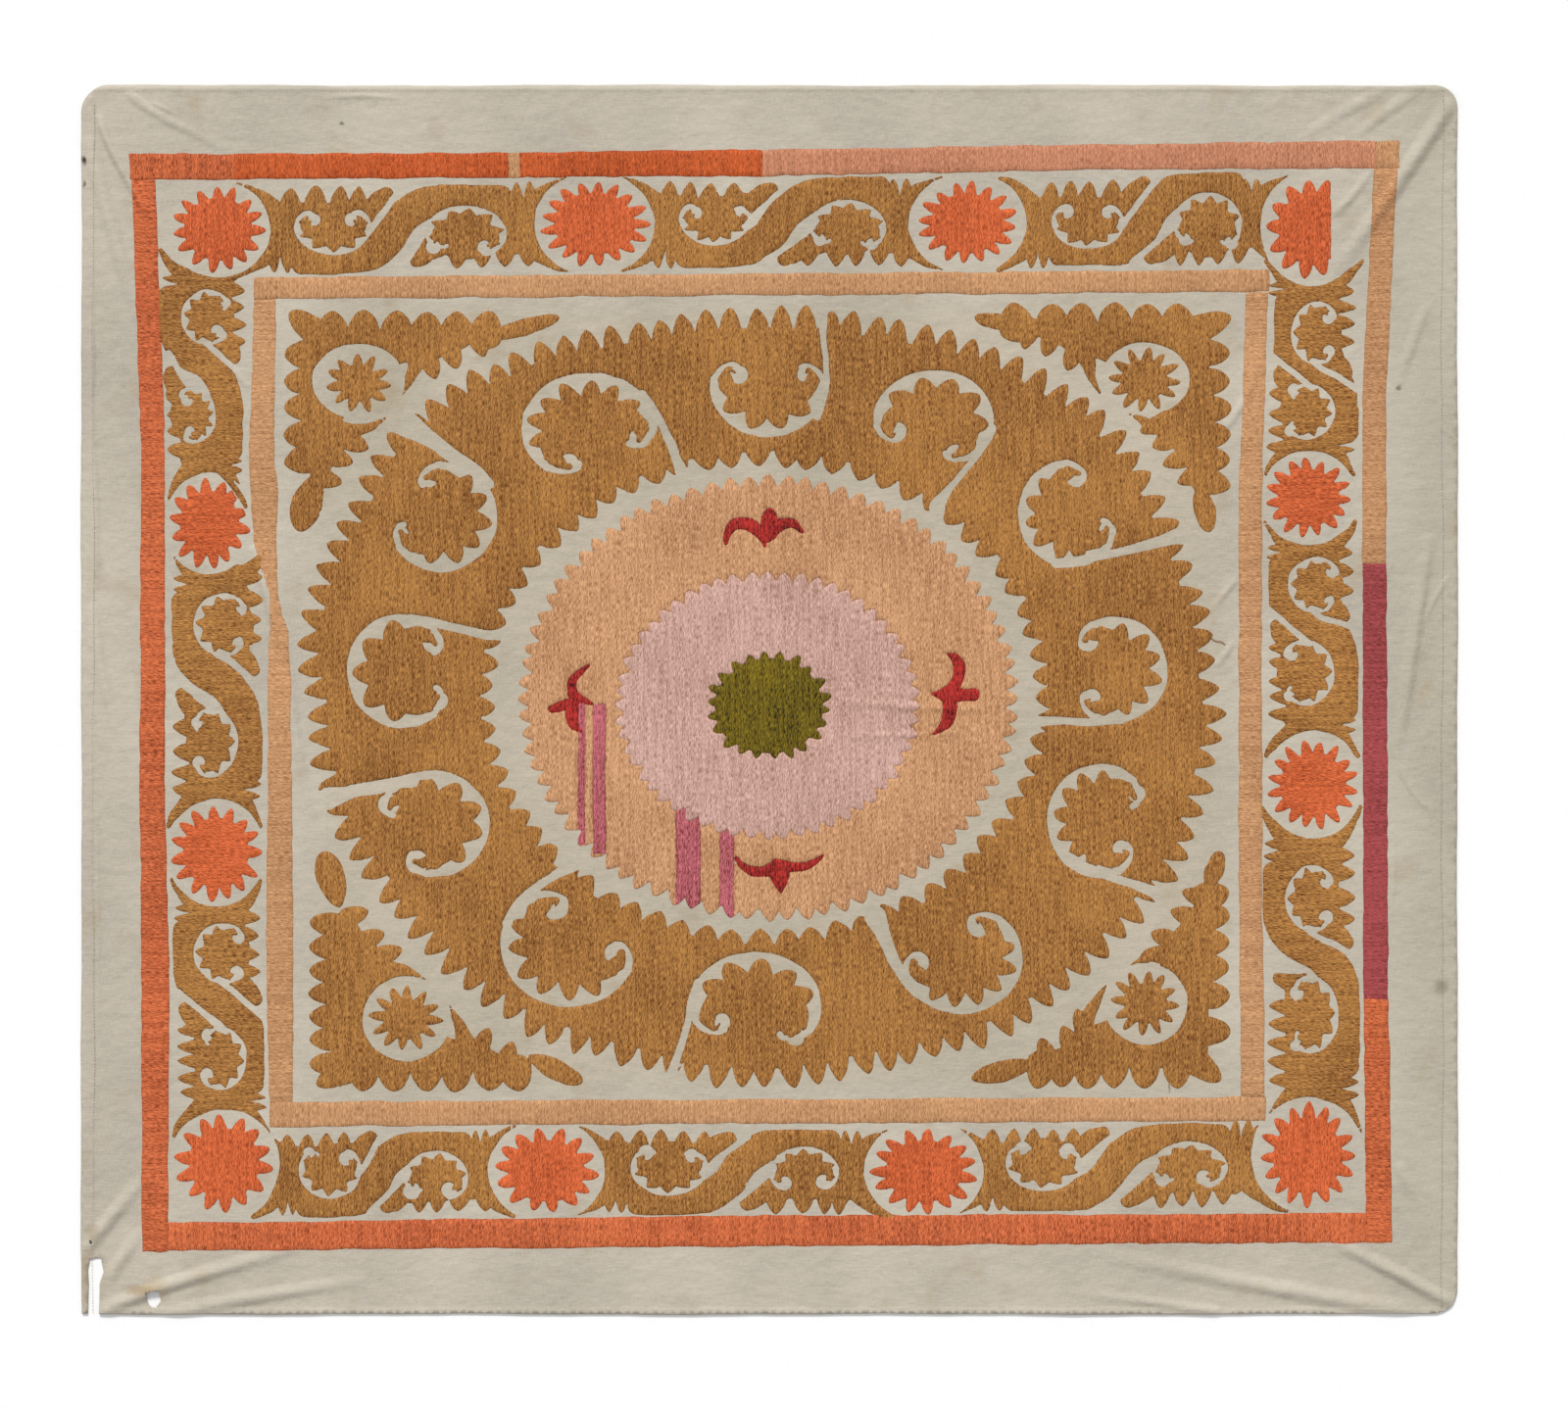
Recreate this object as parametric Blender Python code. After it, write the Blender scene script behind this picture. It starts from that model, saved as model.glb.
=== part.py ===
"""A suzani: one cotton cloth laid flat, embroidered side up.

The cloth is a single thin sheet with turned hems, three rounded corners, a torn
fourth corner and two small holes. Pull folds run in from the corners and a few more
cross the margins and the left frame stripe. +X runs along the longer sides, +Y towards
the top edge, and the origin is under the middle of the cloth, at floor level.
"""

import math
from collections import namedtuple

import bmesh
import bpy
from mathutils import Vector
from mathutils.geometry import delaunay_2d_cdt

MM = 0.001

# Driving dimensions, in metres
WIDTH = 2.108
LENGTH = 1.883
CLOTH_THICKNESS = 0.0014
HEM_THICKNESS = 0.0024
SIDE_HEM = 0.020
END_HEM = 0.009
HEM_STEP = 0.004

# Spacing of the sheet's points, in metres
FIELD_SPACING = 0.085
EDGE_SPACING = 0.045
FOLD_SPACING = 0.020
POINT_CLEARANCE = 0.0055
FIELD_CLEARANCE = 0.045
MERGE_TOLERANCE = 0.00001

# A fold runs from start over bend to end, points in millimetres from the cloth's middle.
# Its height and its full width across are in millimetres too, and so is the height
# that is left at its start, where a fold runs out over the cloth's edge.
Fold = namedtuple("Fold", "name start bend end height width start_height")
FOLDS = [
    Fold("top_left_long", (-1040, 866), (-1009, 722), (-957, 546), 7.0, 40, 1.0),
    Fold("top_left_inner", (-1022, 896), (-988, 812), (-907, 698), 5.0, 26, 0.5),
    Fold("top_left_upper", (-982, 932), (-934, 901), (-829, 841), 3.5, 28, 1.0),
    Fold("left_margin", (-1032, 150), (-1020, 36), (-980, -98), 4.0, 26, 0.0),
    Fold("bottom_left_short", (-1046, -846), (-1012, -799), (-958, -735), 6.0, 32, 1.0),
    Fold("bottom_left_middle", (-1012, -890), (-991, -856), (-962, -815), 4.0, 30, 1.0),
    Fold("bottom_left_strong", (-1022, -937), (-912, -894), (-717, -838), 7.0, 32, 1.0),
    Fold("bottom_left_lower", (-925, -938), (-772, -912), (-614, -888), 4.5, 30, 0.5),
    Fold("bottom_right_strong", (1045, -925), (957, -877), (860, -828), 7.0, 30, 1.0),
    Fold("bottom_right_long", (984, -934), (790, -904), (510, -849), 5.5, 36, 0.5),
    Fold("bottom_right_lower", (692, -936), (622, -927), (472, -908), 3.5, 22, 0.0),
    Fold("right_margin_low", (963, -708), (973, -736), (987, -764), 3.0, 26, 0.0),
    Fold("top_right_strong", (1046, 921), (985, 825), (865, 652), 8.0, 36, 1.5),
    Fold("top_right_short", (990, 932), (933, 891), (892, 860), 4.0, 28, 1.0),
    Fold("top_right_upper", (950, 936), (885, 903), (810, 858), 4.0, 30, 0.5),
    Fold("right_margin_high", (1008, 608), (984, 546), (961, 481), 3.0, 26, 0.0),
    Fold("right_margin", (1010, 252), (982, 61), (961, -80), 6.0, 30, 0.0),
    Fold("stripe_pinch", (-788, 238), (-765, 150), (-731, 48), 7.0, 28, 0.0),
    Fold("stripe_tail", (-735, 62), (-722, -70), (-696, -182), 3.5, 24, 0.0),
]

# Corners: the radius that rounds each one, in metres. The fourth is torn.
TOP_LEFT_RADIUS = 0.042
TOP_RIGHT_RADIUS = 0.036
BOTTOM_RIGHT_RADIUS = 0.039
CORNER_STEPS = 7

# The torn corner: a slit that is open at the bottom edge and leaves a narrow
# strip of selvedge, going round from the strip's end. Millimetres from the middle.
TEAR = [
    (-1045.0, -941.5),
    (-1043.5, -893.0),
    (-1044.5, -872.0),
    (-1041.0, -855.5),
    (-1024.0, -854.5),
    (-1020.0, -876.0),
    (-1026.5, -894.0),
    (-1027.0, -941.5),
]

# Holes worn through the cloth, going round each. Millimetres from the middle.
WORN_HOLE = [(-954, -906), (-931, -904), (-932, -921), (-939, -931), (-947, -929), (-953, -918)]
SMALL_HOLE = [(-1040, -827), (-1036, -827), (-1035, -832), (-1039, -833)]

COTTON_COLOUR = (0.56, 0.50, 0.41, 1.0)
COTTON_ROUGHNESS = 0.92
SHARP_EDGE_ANGLE = math.radians(50)


def clear_scene():
    """Removes whatever the file holds before the cloth is made."""
    for old in list(bpy.data.objects):
        bpy.data.objects.remove(old)


def metres(point):
    """A table point in millimetres as a vector in metres."""
    return Vector((point[0] * MM, point[1] * MM))


def fold_point(fold, along):
    """The point and the sideways direction of a fold's crest, along going from 0 to 1."""
    start, bend, end = (metres(p) for p in (fold.start, fold.bend, fold.end))
    handle = bend * 2 - (start + end) * 0.5
    here = start * (1 - along) ** 2 + handle * 2 * along * (1 - along) + end * along ** 2
    slope = (handle - start) * (1 - along) + (end - handle) * along
    sideways = Vector((-slope.y, slope.x)).normalized()
    return here, sideways


def fold_length(fold):
    """The fold's length from start to end, in metres."""
    bend = metres(fold.bend)
    return (bend - metres(fold.start)).length + (metres(fold.end) - bend).length


def crest_height(fold, along):
    """The crest rises from its start, is highest before the middle and dies away at its end."""
    rise = math.sin(math.pi * along ** 0.8) ** 0.7 if 0 < along < 1 else 0.0
    at_start = fold.start_height * (1 - along) ** 4
    return max(fold.height * rise, at_start) * MM


def crest_path(fold):
    """The crest as short straight runs: each one's start, its step on and its share along."""
    steps = max(6, round(fold_length(fold) / FOLD_SPACING) * 2)
    crest = [fold_point(fold, step / steps)[0] for step in range(steps + 1)]
    return [(crest[i], crest[i + 1] - crest[i], i / steps, 1 / steps) for i in range(steps)]


CREST_PATHS = {fold.name: crest_path(fold) for fold in FOLDS}


def rise_of_fold(fold, point):
    """How far this fold lifts the cloth at a point."""
    half_width = fold.width * MM / 2
    nearest, along = half_width, 0.0
    for here, step, share, share_step in CREST_PATHS[fold.name]:
        part = min(1.0, max(0.0, (point - here).dot(step) / step.length_squared))
        distance = (here + step * part - point).length
        if distance < nearest:
            nearest, along = distance, share + share_step * part
    return crest_height(fold, along) * math.cos(math.pi / 2 * nearest / half_width) ** 2


def cloth_height(point):
    """The height of the cloth's underside over the floor."""
    return max(rise_of_fold(fold, point) for fold in FOLDS)


def corner_arc(centre, radius, start_angle):
    """Points round a quarter circle, clockwise from start_angle."""
    arc = []
    for step in range(CORNER_STEPS + 1):
        angle = math.radians(start_angle - 90 * step / CORNER_STEPS)
        arc.append(centre + Vector((math.cos(angle), math.sin(angle))) * radius)
    return arc


def evenly_split(loop, spacing):
    """The closed loop again, with points added so that no side is longer than spacing."""
    result = []
    for here, after in zip(loop, loop[1:] + loop[:1]):
        parts = max(1, math.ceil((after - here).length / spacing))
        result.extend(here.lerp(after, part / parts) for part in range(parts))
    return result


def outline():
    """The cloth's edge, clockwise from the top left corner, with the tear let into it."""
    right, top = WIDTH / 2, LENGTH / 2
    loop = corner_arc(Vector((-right + TOP_LEFT_RADIUS, top - TOP_LEFT_RADIUS)), TOP_LEFT_RADIUS, 180)
    loop += corner_arc(Vector((right - TOP_RIGHT_RADIUS, top - TOP_RIGHT_RADIUS)), TOP_RIGHT_RADIUS, 90)
    low_corner = Vector((right - BOTTOM_RIGHT_RADIUS, BOTTOM_RIGHT_RADIUS - top))
    loop += corner_arc(low_corner, BOTTOM_RIGHT_RADIUS, 0)
    loop += [metres(point) for point in reversed(TEAR)]
    loop.append(Vector((-right, -top)))
    return evenly_split(loop, EDGE_SPACING)


def inside_cloth(point, margin):
    """True where a point is on the cloth and at least margin from its edges and holes."""
    if abs(point.x) > WIDTH / 2 - margin or abs(point.y) > LENGTH / 2 - margin:
        return False
    corners = (
        (-1, 1, TOP_LEFT_RADIUS),
        (1, 1, TOP_RIGHT_RADIUS),
        (1, -1, BOTTOM_RIGHT_RADIUS),
    )
    for side, end, radius in corners:
        past_x = point.x * side - (WIDTH / 2 - radius)
        past_y = point.y * end - (LENGTH / 2 - radius)
        if past_x > 0 and past_y > 0 and math.hypot(past_x, past_y) > radius - margin:
            return False
    for shape in (TEAR, WORN_HOLE, SMALL_HOLE):
        xs = [corner[0] * MM for corner in shape]
        ys = [corner[1] * MM for corner in shape]
        beside = point.x < min(xs) - margin or point.x > max(xs) + margin
        beyond = point.y < min(ys) - margin or point.y > max(ys) + margin
        if not beside and not beyond:
            return False
    return True


def far_from_all(point, others, clearance):
    """True where a point is at least clearance from every other."""
    return all((point - other).length >= clearance for other in others)


def hem_points():
    """Two lines of points along each hem: its inner edge and the foot of its step."""
    points = []
    for step_out in (0.0, HEM_STEP):
        half_x = WIDTH / 2 - SIDE_HEM - step_out
        half_y = LENGTH / 2 - END_HEM - step_out
        frame = [Vector((x * half_x, y * half_y)) for x, y in ((-1, 1), (1, 1), (1, -1), (-1, -1))]
        points += evenly_split(frame, EDGE_SPACING)
    return points


def crest_lines():
    """Points along each fold's crest, its two flanks and its two feet."""
    points = []
    for fold in FOLDS:
        steps = max(4, round(fold_length(fold) / FOLD_SPACING))
        for step in range(steps + 1):
            crest, sideways = fold_point(fold, step / steps)
            for share in (0.0, 0.5, -0.5, 1.0, -1.0):
                points.append(crest + sideways * share * fold.width * MM / 2)
    return points


def field_points():
    """A wide, staggered grid over the flat parts of the cloth."""
    points = []
    rows = math.ceil(LENGTH / FIELD_SPACING)
    columns = math.ceil(WIDTH / FIELD_SPACING)
    for row in range(1, rows):
        for column in range(1, columns):
            stagger = 0.5 if row % 2 else 0.0
            x = -WIDTH / 2 + (column + stagger) * WIDTH / columns
            y = -LENGTH / 2 + row * LENGTH / rows
            points.append(Vector((x, y)))
    return points


def cloth_thickness(point):
    """How thick the cloth is at a point: more on its hems, which are turned under and sewn."""
    side = (abs(point.x) - (WIDTH / 2 - SIDE_HEM - HEM_STEP)) / HEM_STEP
    end = (abs(point.y) - (LENGTH / 2 - END_HEM - HEM_STEP)) / HEM_STEP
    hem_share = min(1.0, max(0.0, side, end))
    return CLOTH_THICKNESS + (HEM_THICKNESS - CLOTH_THICKNESS) * hem_share


def cloth_mesh():
    """The closed sheet: its underside, and the same surface again a thickness above it."""
    loops = [outline()]
    loops += [[metres(corner) for corner in hole] for hole in (WORN_HOLE, SMALL_HOLE)]
    points = [point for loop in loops for point in loop]
    for point in crest_lines() + hem_points():
        if inside_cloth(point, POINT_CLEARANCE) and far_from_all(point, points, POINT_CLEARANCE):
            points.append(point)
    for point in field_points():
        if inside_cloth(point, FIELD_CLEARANCE) and far_from_all(point, points, FIELD_CLEARANCE):
            points.append(point)
    rims, first = [], 0
    for loop in loops:
        rims.append(list(range(first, first + len(loop))))
        first += len(loop)
    inside_with_holes = 2
    flat = delaunay_2d_cdt(points, [], rims, inside_with_holes, MERGE_TOLERANCE)
    sheet = bmesh.new()
    corners = [sheet.verts.new((p.x, p.y, cloth_height(p))) for p in flat[0]]
    for face in flat[2]:
        sheet.faces.new([corners[index] for index in face])
    raised = bmesh.ops.extrude_face_region(sheet, geom=sheet.faces[:], use_keep_orig=True)
    for corner in raised["geom"]:
        if isinstance(corner, bmesh.types.BMVert):
            corner.co.z += cloth_thickness(corner.co.xy)
    bmesh.ops.recalc_face_normals(sheet, faces=sheet.faces)
    mesh = bpy.data.meshes.new("ground_cloth")
    sheet.to_mesh(mesh)
    sheet.free()
    return mesh


def cotton():
    """Undyed hand-woven cotton, matt and warm grey."""
    material = bpy.data.materials.new("cotton")
    material.use_nodes = True
    shader = material.node_tree.nodes["Principled BSDF"]
    shader.inputs["Base Color"].default_value = COTTON_COLOUR
    shader.inputs["Roughness"].default_value = COTTON_ROUGHNESS
    shader.inputs["Metallic"].default_value = 0.0
    return material


def ground_cloth(collection):
    """The cloth: one solid, thicker where its edges are turned under and sewn."""
    cloth = bpy.data.objects.new("ground_cloth", cloth_mesh())
    collection.objects.link(cloth)
    cloth.data.materials.append(cotton())
    cloth.data.shade_smooth()
    cloth.data.set_sharp_from_angle(angle=SHARP_EDGE_ANGLE)


def main():
    clear_scene()
    collection = bpy.data.collections.new("suzani")
    bpy.context.scene.collection.children.link(collection)
    ground_cloth(collection)


main()
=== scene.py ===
"""The look of a suzani: an embroidered cotton cloth laid flat, face up.

The ground cloth is a thin sheet on the folds of its CAD solid, with smaller creases, turned
hems, running stitches and a torn corner. The embroidery lies on it as raised areas of couched
silk. Each colour's area is drawn by adding and cutting simple shapes (petals, ovals, brush
strokes and bands) on a fine lattice, and its outline becomes a mesh that follows the cloth.
The places of the motifs are pixels of the photo, read off it and then corrected until
the drawn outlines lay on it.
"""

import math
from collections import namedtuple

import bmesh
import bpy
import numpy as np
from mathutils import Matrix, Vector
from mathutils.geometry import delaunay_2d_cdt


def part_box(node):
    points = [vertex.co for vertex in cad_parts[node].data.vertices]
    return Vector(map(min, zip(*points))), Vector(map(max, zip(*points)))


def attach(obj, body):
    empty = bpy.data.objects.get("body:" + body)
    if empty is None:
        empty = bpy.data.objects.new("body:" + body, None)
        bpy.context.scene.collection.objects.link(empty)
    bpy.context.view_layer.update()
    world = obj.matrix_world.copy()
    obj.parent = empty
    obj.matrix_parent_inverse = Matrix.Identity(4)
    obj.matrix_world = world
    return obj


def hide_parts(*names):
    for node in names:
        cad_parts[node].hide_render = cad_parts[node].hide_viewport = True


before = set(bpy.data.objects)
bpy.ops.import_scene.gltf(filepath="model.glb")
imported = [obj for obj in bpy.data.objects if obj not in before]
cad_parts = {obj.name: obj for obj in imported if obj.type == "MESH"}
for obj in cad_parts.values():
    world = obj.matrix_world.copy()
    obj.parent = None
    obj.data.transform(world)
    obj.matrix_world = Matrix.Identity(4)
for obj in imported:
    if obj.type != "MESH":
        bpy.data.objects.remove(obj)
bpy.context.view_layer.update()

MM = 0.001
TINY = 1e-12
SEED = 20
rng = np.random.default_rng(SEED)

# The embroidery's tables are in drawing units, one pixel of the photo, 1.5 mm on the cloth.
# They run right and down, and MIDDLE is where the cloth's middle lies in them.
UNIT = 1.5 * MM
MIDDLE = (785.0, 714.1)

# The sheet, in metres: its size comes from the CAD node that it replaces
LOW, HIGH = (np.array(corner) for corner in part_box("ground_cloth"))
WIDTH, LENGTH = HIGH[0] - LOW[0], HIGH[1] - LOW[1]
CLOTH_THICKNESS = 1.1 * MM
HEM_THICKNESS = 2.2 * MM
SIDE_HEM = 20 * MM
END_HEM = 9 * MM
HEM_STEP = 2.5 * MM

# A fold runs from start over bend to end, points in millimetres from the cloth's middle.
# Its height, full width and the height left at its start are in millimetres too.
Fold = namedtuple("Fold", "name start bend end height width start_height")
FOLDS = [
    Fold("top_left_long", (-1042, 866), (-1008, 730), (-955, 560), 7.5, 38, 1.0),
    Fold("top_left_inner", (-1024, 896), (-999, 828), (-925, 704), 6.5, 22, 0.5),
    Fold("top_left_upper", (-982, 932), (-944, 901), (-829, 841), 3.0, 22, 1.0),
    Fold("left_margin", (-1032, 150), (-1020, 36), (-980, -98), 4.0, 26, 0.0),
    Fold("bottom_left_short", (-1046, -846), (-1012, -799), (-958, -735), 6.0, 32, 1.0),
    Fold("bottom_left_middle", (-1012, -890), (-991, -856), (-962, -815), 4.0, 30, 1.0),
    Fold("bottom_left_strong", (-1022, -937), (-912, -894), (-717, -838), 7.0, 32, 1.0),
    Fold("bottom_left_lower", (-925, -938), (-772, -912), (-614, -888), 4.5, 30, 0.5),
    Fold("bottom_right_strong", (1045, -925), (957, -877), (860, -828), 7.0, 30, 1.0),
    Fold("bottom_right_long", (984, -934), (790, -904), (510, -849), 5.5, 36, 0.5),
    Fold("bottom_right_lower", (692, -936), (622, -927), (472, -908), 3.5, 22, 0.0),
    Fold("right_margin_low", (963, -708), (973, -736), (987, -764), 3.0, 26, 0.0),
    Fold("top_right_strong", (1046, 921), (985, 825), (865, 652), 8.0, 36, 1.5),
    Fold("top_right_short", (990, 932), (933, 891), (892, 860), 2.6, 28, 1.0),
    Fold("top_right_upper", (950, 936), (885, 903), (810, 858), 2.6, 30, 0.5),
    Fold("right_margin_high", (1008, 608), (984, 546), (961, 481), 3.0, 26, 0.0),
    Fold("right_margin", (1010, 252), (982, 61), (961, -80), 6.0, 30, 0.0),
    Fold("stripe_pinch", (-788, 238), (-765, 150), (-731, 48), 7.0, 28, 0.0),
    Fold("stripe_tail", (-735, 62), (-722, -70), (-696, -182), 3.5, 24, 0.0),
]

# Creases are folds that are too small for the solid, in the same columns
CREASES = [
    Fold("top_edge", (-679, 921), (-619, 924), (-559, 919), 2.0, 12, 0.0),
    Fold("top_left_nick", (-979, 927), (-960, 917), (-945, 901), 3.0, 11, 0.0),
    Fold("top_left_faint", (-948, 915), (-928, 905), (-902, 893), 1.8, 12, 0.0),
    Fold("left_high", (-1041, 588), (-1035, 516), (-1039, 456), 2.5, 14, 0.0),
    Fold("left_short", (-997, 535), (-990, 493), (-988, 478), 2.0, 12, 0.0),
    Fold("left_middle", (-1036, 426), (-1030, 291), (-1032, 141), 2.5, 16, 0.0),
    Fold("left_thin", (-1030, -129), (-1027, -342), (-1026, -530), 1.5, 8, 0.0),
    Fold("top_right_inner", (925, 816), (885, 763), (859, 744), 3.0, 20, 0.0),
    Fold("right_edge", (1042, 193), (1015, 148), (993, 99), 2.0, 14, 0.0),
    Fold("right_cross", (958, -69), (978, -132), (1020, -174), 2.0, 12, 0.0),
    Fold("field_right_a", (748, 523), (724, 453), (690, 411), 3.0, 20, 0.0),
    Fold("field_right_b", (715, 186), (697, 163), (679, 141), 2.5, 16, 0.0),
    Fold("field_right_c", (711, 88), (697, 69), (685, 51), 2.5, 16, 0.0),
    Fold("border_low", (742, -751), (772, -772), (805, -784), 2.0, 14, 0.0),
    Fold("field_left", (-832, 520), (-813, 496), (-793, 474), 2.5, 16, 0.0),
    Fold("field_left_line", (-680, -133), (-679, -182), (-678, -229), 1.2, 8, 0.0),
    Fold("medallion_a", (102, 0), (225, -12), (398, -16), 1.9, 13, 0.0),
    Fold("medallion_b", (120, -52), (230, -54), (330, -42), 1.6, 12, 0.0),
    Fold("medallion_c", (-372, -66), (-300, -74), (-236, -92), 1.0, 10, 0.0),
    Fold("right_wrinkle", (953, -193), (956, -260), (951, -330), 1.5, 10, 0.0),
]
CREST_SPACING = 10 * MM
FEWEST_STEPS = 6

# The torn corner's slit and two worn holes, millimetres from the middle, going round each
TEAR = [
    (-1045.0, -941.5), (-1043.5, -893.0), (-1044.5, -872.0), (-1041.0, -855.5),
    (-1024.0, -854.5), (-1020.0, -876.0), (-1026.5, -894.0), (-1027.0, -941.5),
]
WORN_HOLE = [(-954, -906), (-931, -904), (-932, -921), (-939, -931), (-947, -929), (-953, -918)]
SMALL_HOLE = [(-1040, -827), (-1036, -827), (-1035, -832), (-1039, -833)]

# The rounded corners, clockwise from the top left: the side and the end that each lies on,
# its radius and the angle at which its arc starts
ROUND_CORNERS = [(-1, 1, 42 * MM, 180), (1, 1, 36 * MM, 90), (1, -1, 39 * MM, 0)]


# Folds and creases

def crest_points(fold):
    """Points of the fold's crest from start to end, in metres."""
    start, bend, end = (np.array(point, float) * MM for point in (fold.start, fold.bend, fold.end))
    handle = bend * 2 - (start + end) * 0.5
    length = (math.dist(fold.start, fold.bend) + math.dist(fold.bend, fold.end)) * MM
    steps = max(FEWEST_STEPS, round(length / CREST_SPACING))
    return [start * (1 - along) ** 2 + handle * 2 * along * (1 - along) + end * along ** 2
            for along in (step / steps for step in range(steps + 1))]


def nearest_on_run(x, y, start, run):
    """Where along a straight run, from 0 to 1, each point's nearest place is, and how far off."""
    share = ((x - start[0]) * run[0] + (y - start[1]) * run[1]) / max(run[0] ** 2 + run[1] ** 2, TINY)
    share = np.clip(share, 0, 1)
    return share, np.hypot(x - start[0] - run[0] * share, y - start[1] - run[1] * share)


def fold_heights(fold, x, y):
    """How far the fold lifts the cloth at each point: a crest that rises and dies away."""
    half_width = fold.width * MM / 2
    nearest = np.full(x.shape, half_width)
    share = np.zeros(x.shape)
    points = crest_points(fold)
    for step, (here, after) in enumerate(zip(points, points[1:])):
        part, distance = nearest_on_run(x, y, here, after - here)
        closer = distance < nearest
        nearest = np.where(closer, distance, nearest)
        share = np.where(closer, (step + part) / (len(points) - 1), share)
    rise = np.sin(math.pi * share ** 0.8) ** 0.7
    crest = np.maximum(fold.height * rise, fold.start_height * (1 - share) ** 4) * MM
    return crest * np.cos(math.pi / 2 * nearest / half_width) ** 2


def near_fold(fold, x, y, margin):
    """Which points lie in the fold's own box, widened by half its width and a margin."""
    corners = np.array([fold.start, fold.bend, fold.end], float) * MM
    reach = fold.width * MM / 2 + margin
    low, high = corners.min(axis=0) - reach, corners.max(axis=0) + reach
    return (x > low[0]) & (x < high[0]) & (y > low[1]) & (y < high[1])


def soft_swell(x, y):
    """The cloth's slight lie over the floor: a few long low waves, never below it."""
    waves = (np.sin(7.3 * x + 2.1 * y + 0.6) * np.sin(5.1 * y - 3.2 * x + 1.9)
             + 0.6 * np.sin(17.0 * x - 9.0 * y + 2.4) * np.sin(13.0 * y + 6.0 * x)
             + 0.35 * np.sin(41.0 * x + 11.0 * y) * np.sin(37.0 * y - 19.0 * x + 1.0))
    return (waves + 1.95) * 0.28 * MM


def cloth_height(x, y):
    """The height of the cloth's underside over the floor, for arrays of points in metres."""
    height = np.zeros(x.shape)
    for fold in FOLDS + CREASES:
        near = near_fold(fold, x, y, 0.0)
        if near.any():
            height[near] = np.maximum(height[near], fold_heights(fold, x[near], y[near]))
    return height + soft_swell(x, y)


# The lattice on which the embroidery is drawn

LATTICE_LEFT, LATTICE_TOP = 76, 80
COLUMNS, ROWS = 1420, 1270
FAR = 4.0
WANDER = 0.7
WINDOW_MARGIN = 7


def smooth_noise(cell):
    """A smooth random surface over the lattice, between about -1 and 1, in bumps cell units wide."""
    coarse = rng.uniform(-1, 1, (ROWS // cell + 4, COLUMNS // cell + 4))
    rows, columns = np.arange(ROWS) / cell, np.arange(COLUMNS) / cell
    row, column = rows.astype(int), columns.astype(int)
    down, right = (rows - row)[:, None], (columns - column)[None, :]
    down = down * down * (3 - 2 * down)
    right = right * right * (3 - 2 * right)
    above = coarse[row][:, column] * (1 - right) + coarse[row][:, column + 1] * right
    below = coarse[row + 1][:, column] * (1 - right) + coarse[row + 1][:, column + 1] * right
    return above * (1 - down) + below * down


# Hand-drawn lines wander a little, so each lattice point is drawn slightly off its place
DRAWN_X = LATTICE_LEFT + np.arange(COLUMNS)[None, :] + WANDER * (smooth_noise(11) + smooth_noise(37))
DRAWN_Y = LATTICE_TOP + np.arange(ROWS)[:, None] + WANDER * (smooth_noise(11) + smooth_noise(37))


def window(xs, ys, reach=0.0):
    """The part of the lattice over some places and what lies in reach, with its drawn coordinates."""
    margin = reach + WINDOW_MARGIN
    columns = slice(max(0, int(min(xs) - margin - LATTICE_LEFT)),
                    max(0, int(max(xs) + margin - LATTICE_LEFT) + 2))
    rows = slice(max(0, int(min(ys) - margin - LATTICE_TOP)),
                 max(0, int(max(ys) + margin - LATTICE_TOP) + 2))
    return (rows, columns), DRAWN_X[rows, columns], DRAWN_Y[rows, columns]


class Patch:
    """One colour's stitched area: the distance in from its edge, negative outside."""

    def __init__(self):
        self.inside = np.full((ROWS, COLUMNS), -FAR)

    def add(self, shapes):
        for where, values in shapes:
            self.inside[where] = np.maximum(self.inside[where], values)

    def cut(self, shapes):
        for where, values in shapes:
            self.inside[where] = np.minimum(self.inside[where], -values)


def oval(cx, cy, rx, ry):
    """An upright oval by its middle and radii."""
    where, x, y = window((cx - rx, cx + rx), (cy - ry, cy + ry))
    u, v = (x - cx) / rx, (y - cy) / ry
    size = np.hypot(u, v) + 1e-6
    return [(where, np.clip((1 - size) * size / np.hypot(u / rx, v / ry), -FAR, FAR))]


def petal(base, tip, half_width, pointed=1.6, roundness=1.5):
    """A tooth or petal from its base to its tip, with a short round heel behind the base."""
    length = math.dist(base, tip)
    ahead = ((tip[0] - base[0]) / length, (tip[1] - base[1]) / length)
    where, x, y = window(base[:1], base[1:], length + half_width)
    along = (x - base[0]) * ahead[0] + (y - base[1]) * ahead[1]
    across = np.abs((y - base[1]) * ahead[0] - (x - base[0]) * ahead[1]) / half_width
    u = np.where(along > 0, along / length, -along * 2 / length)
    full = u ** pointed + across ** roundness
    steep = np.hypot(pointed * u ** (pointed - 1) / length,
                     roundness * across ** (roundness - 1) / half_width)
    return [(where, np.clip((1 - full) / (steep + 0.01), -FAR, FAR))]


def curve(points, steps=6):
    """A smooth line through rows of numbers, by Catmull and Rom's rule."""
    rows = np.array(points, float)
    rows = np.vstack([2 * rows[0] - rows[1], rows, 2 * rows[-1] - rows[-2]])
    result = []
    for before, here, after, beyond in zip(rows, rows[1:], rows[2:], rows[3:]):
        for step in range(steps):
            t = step / steps
            result.append(here + 0.5 * ((after - before) * t
                                        + (2 * before - 5 * here + 4 * after - beyond) * t ** 2
                                        + (3 * here - before - 3 * after + beyond) * t ** 3))
    result.append(rows[-2])
    return np.array(result)


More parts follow.
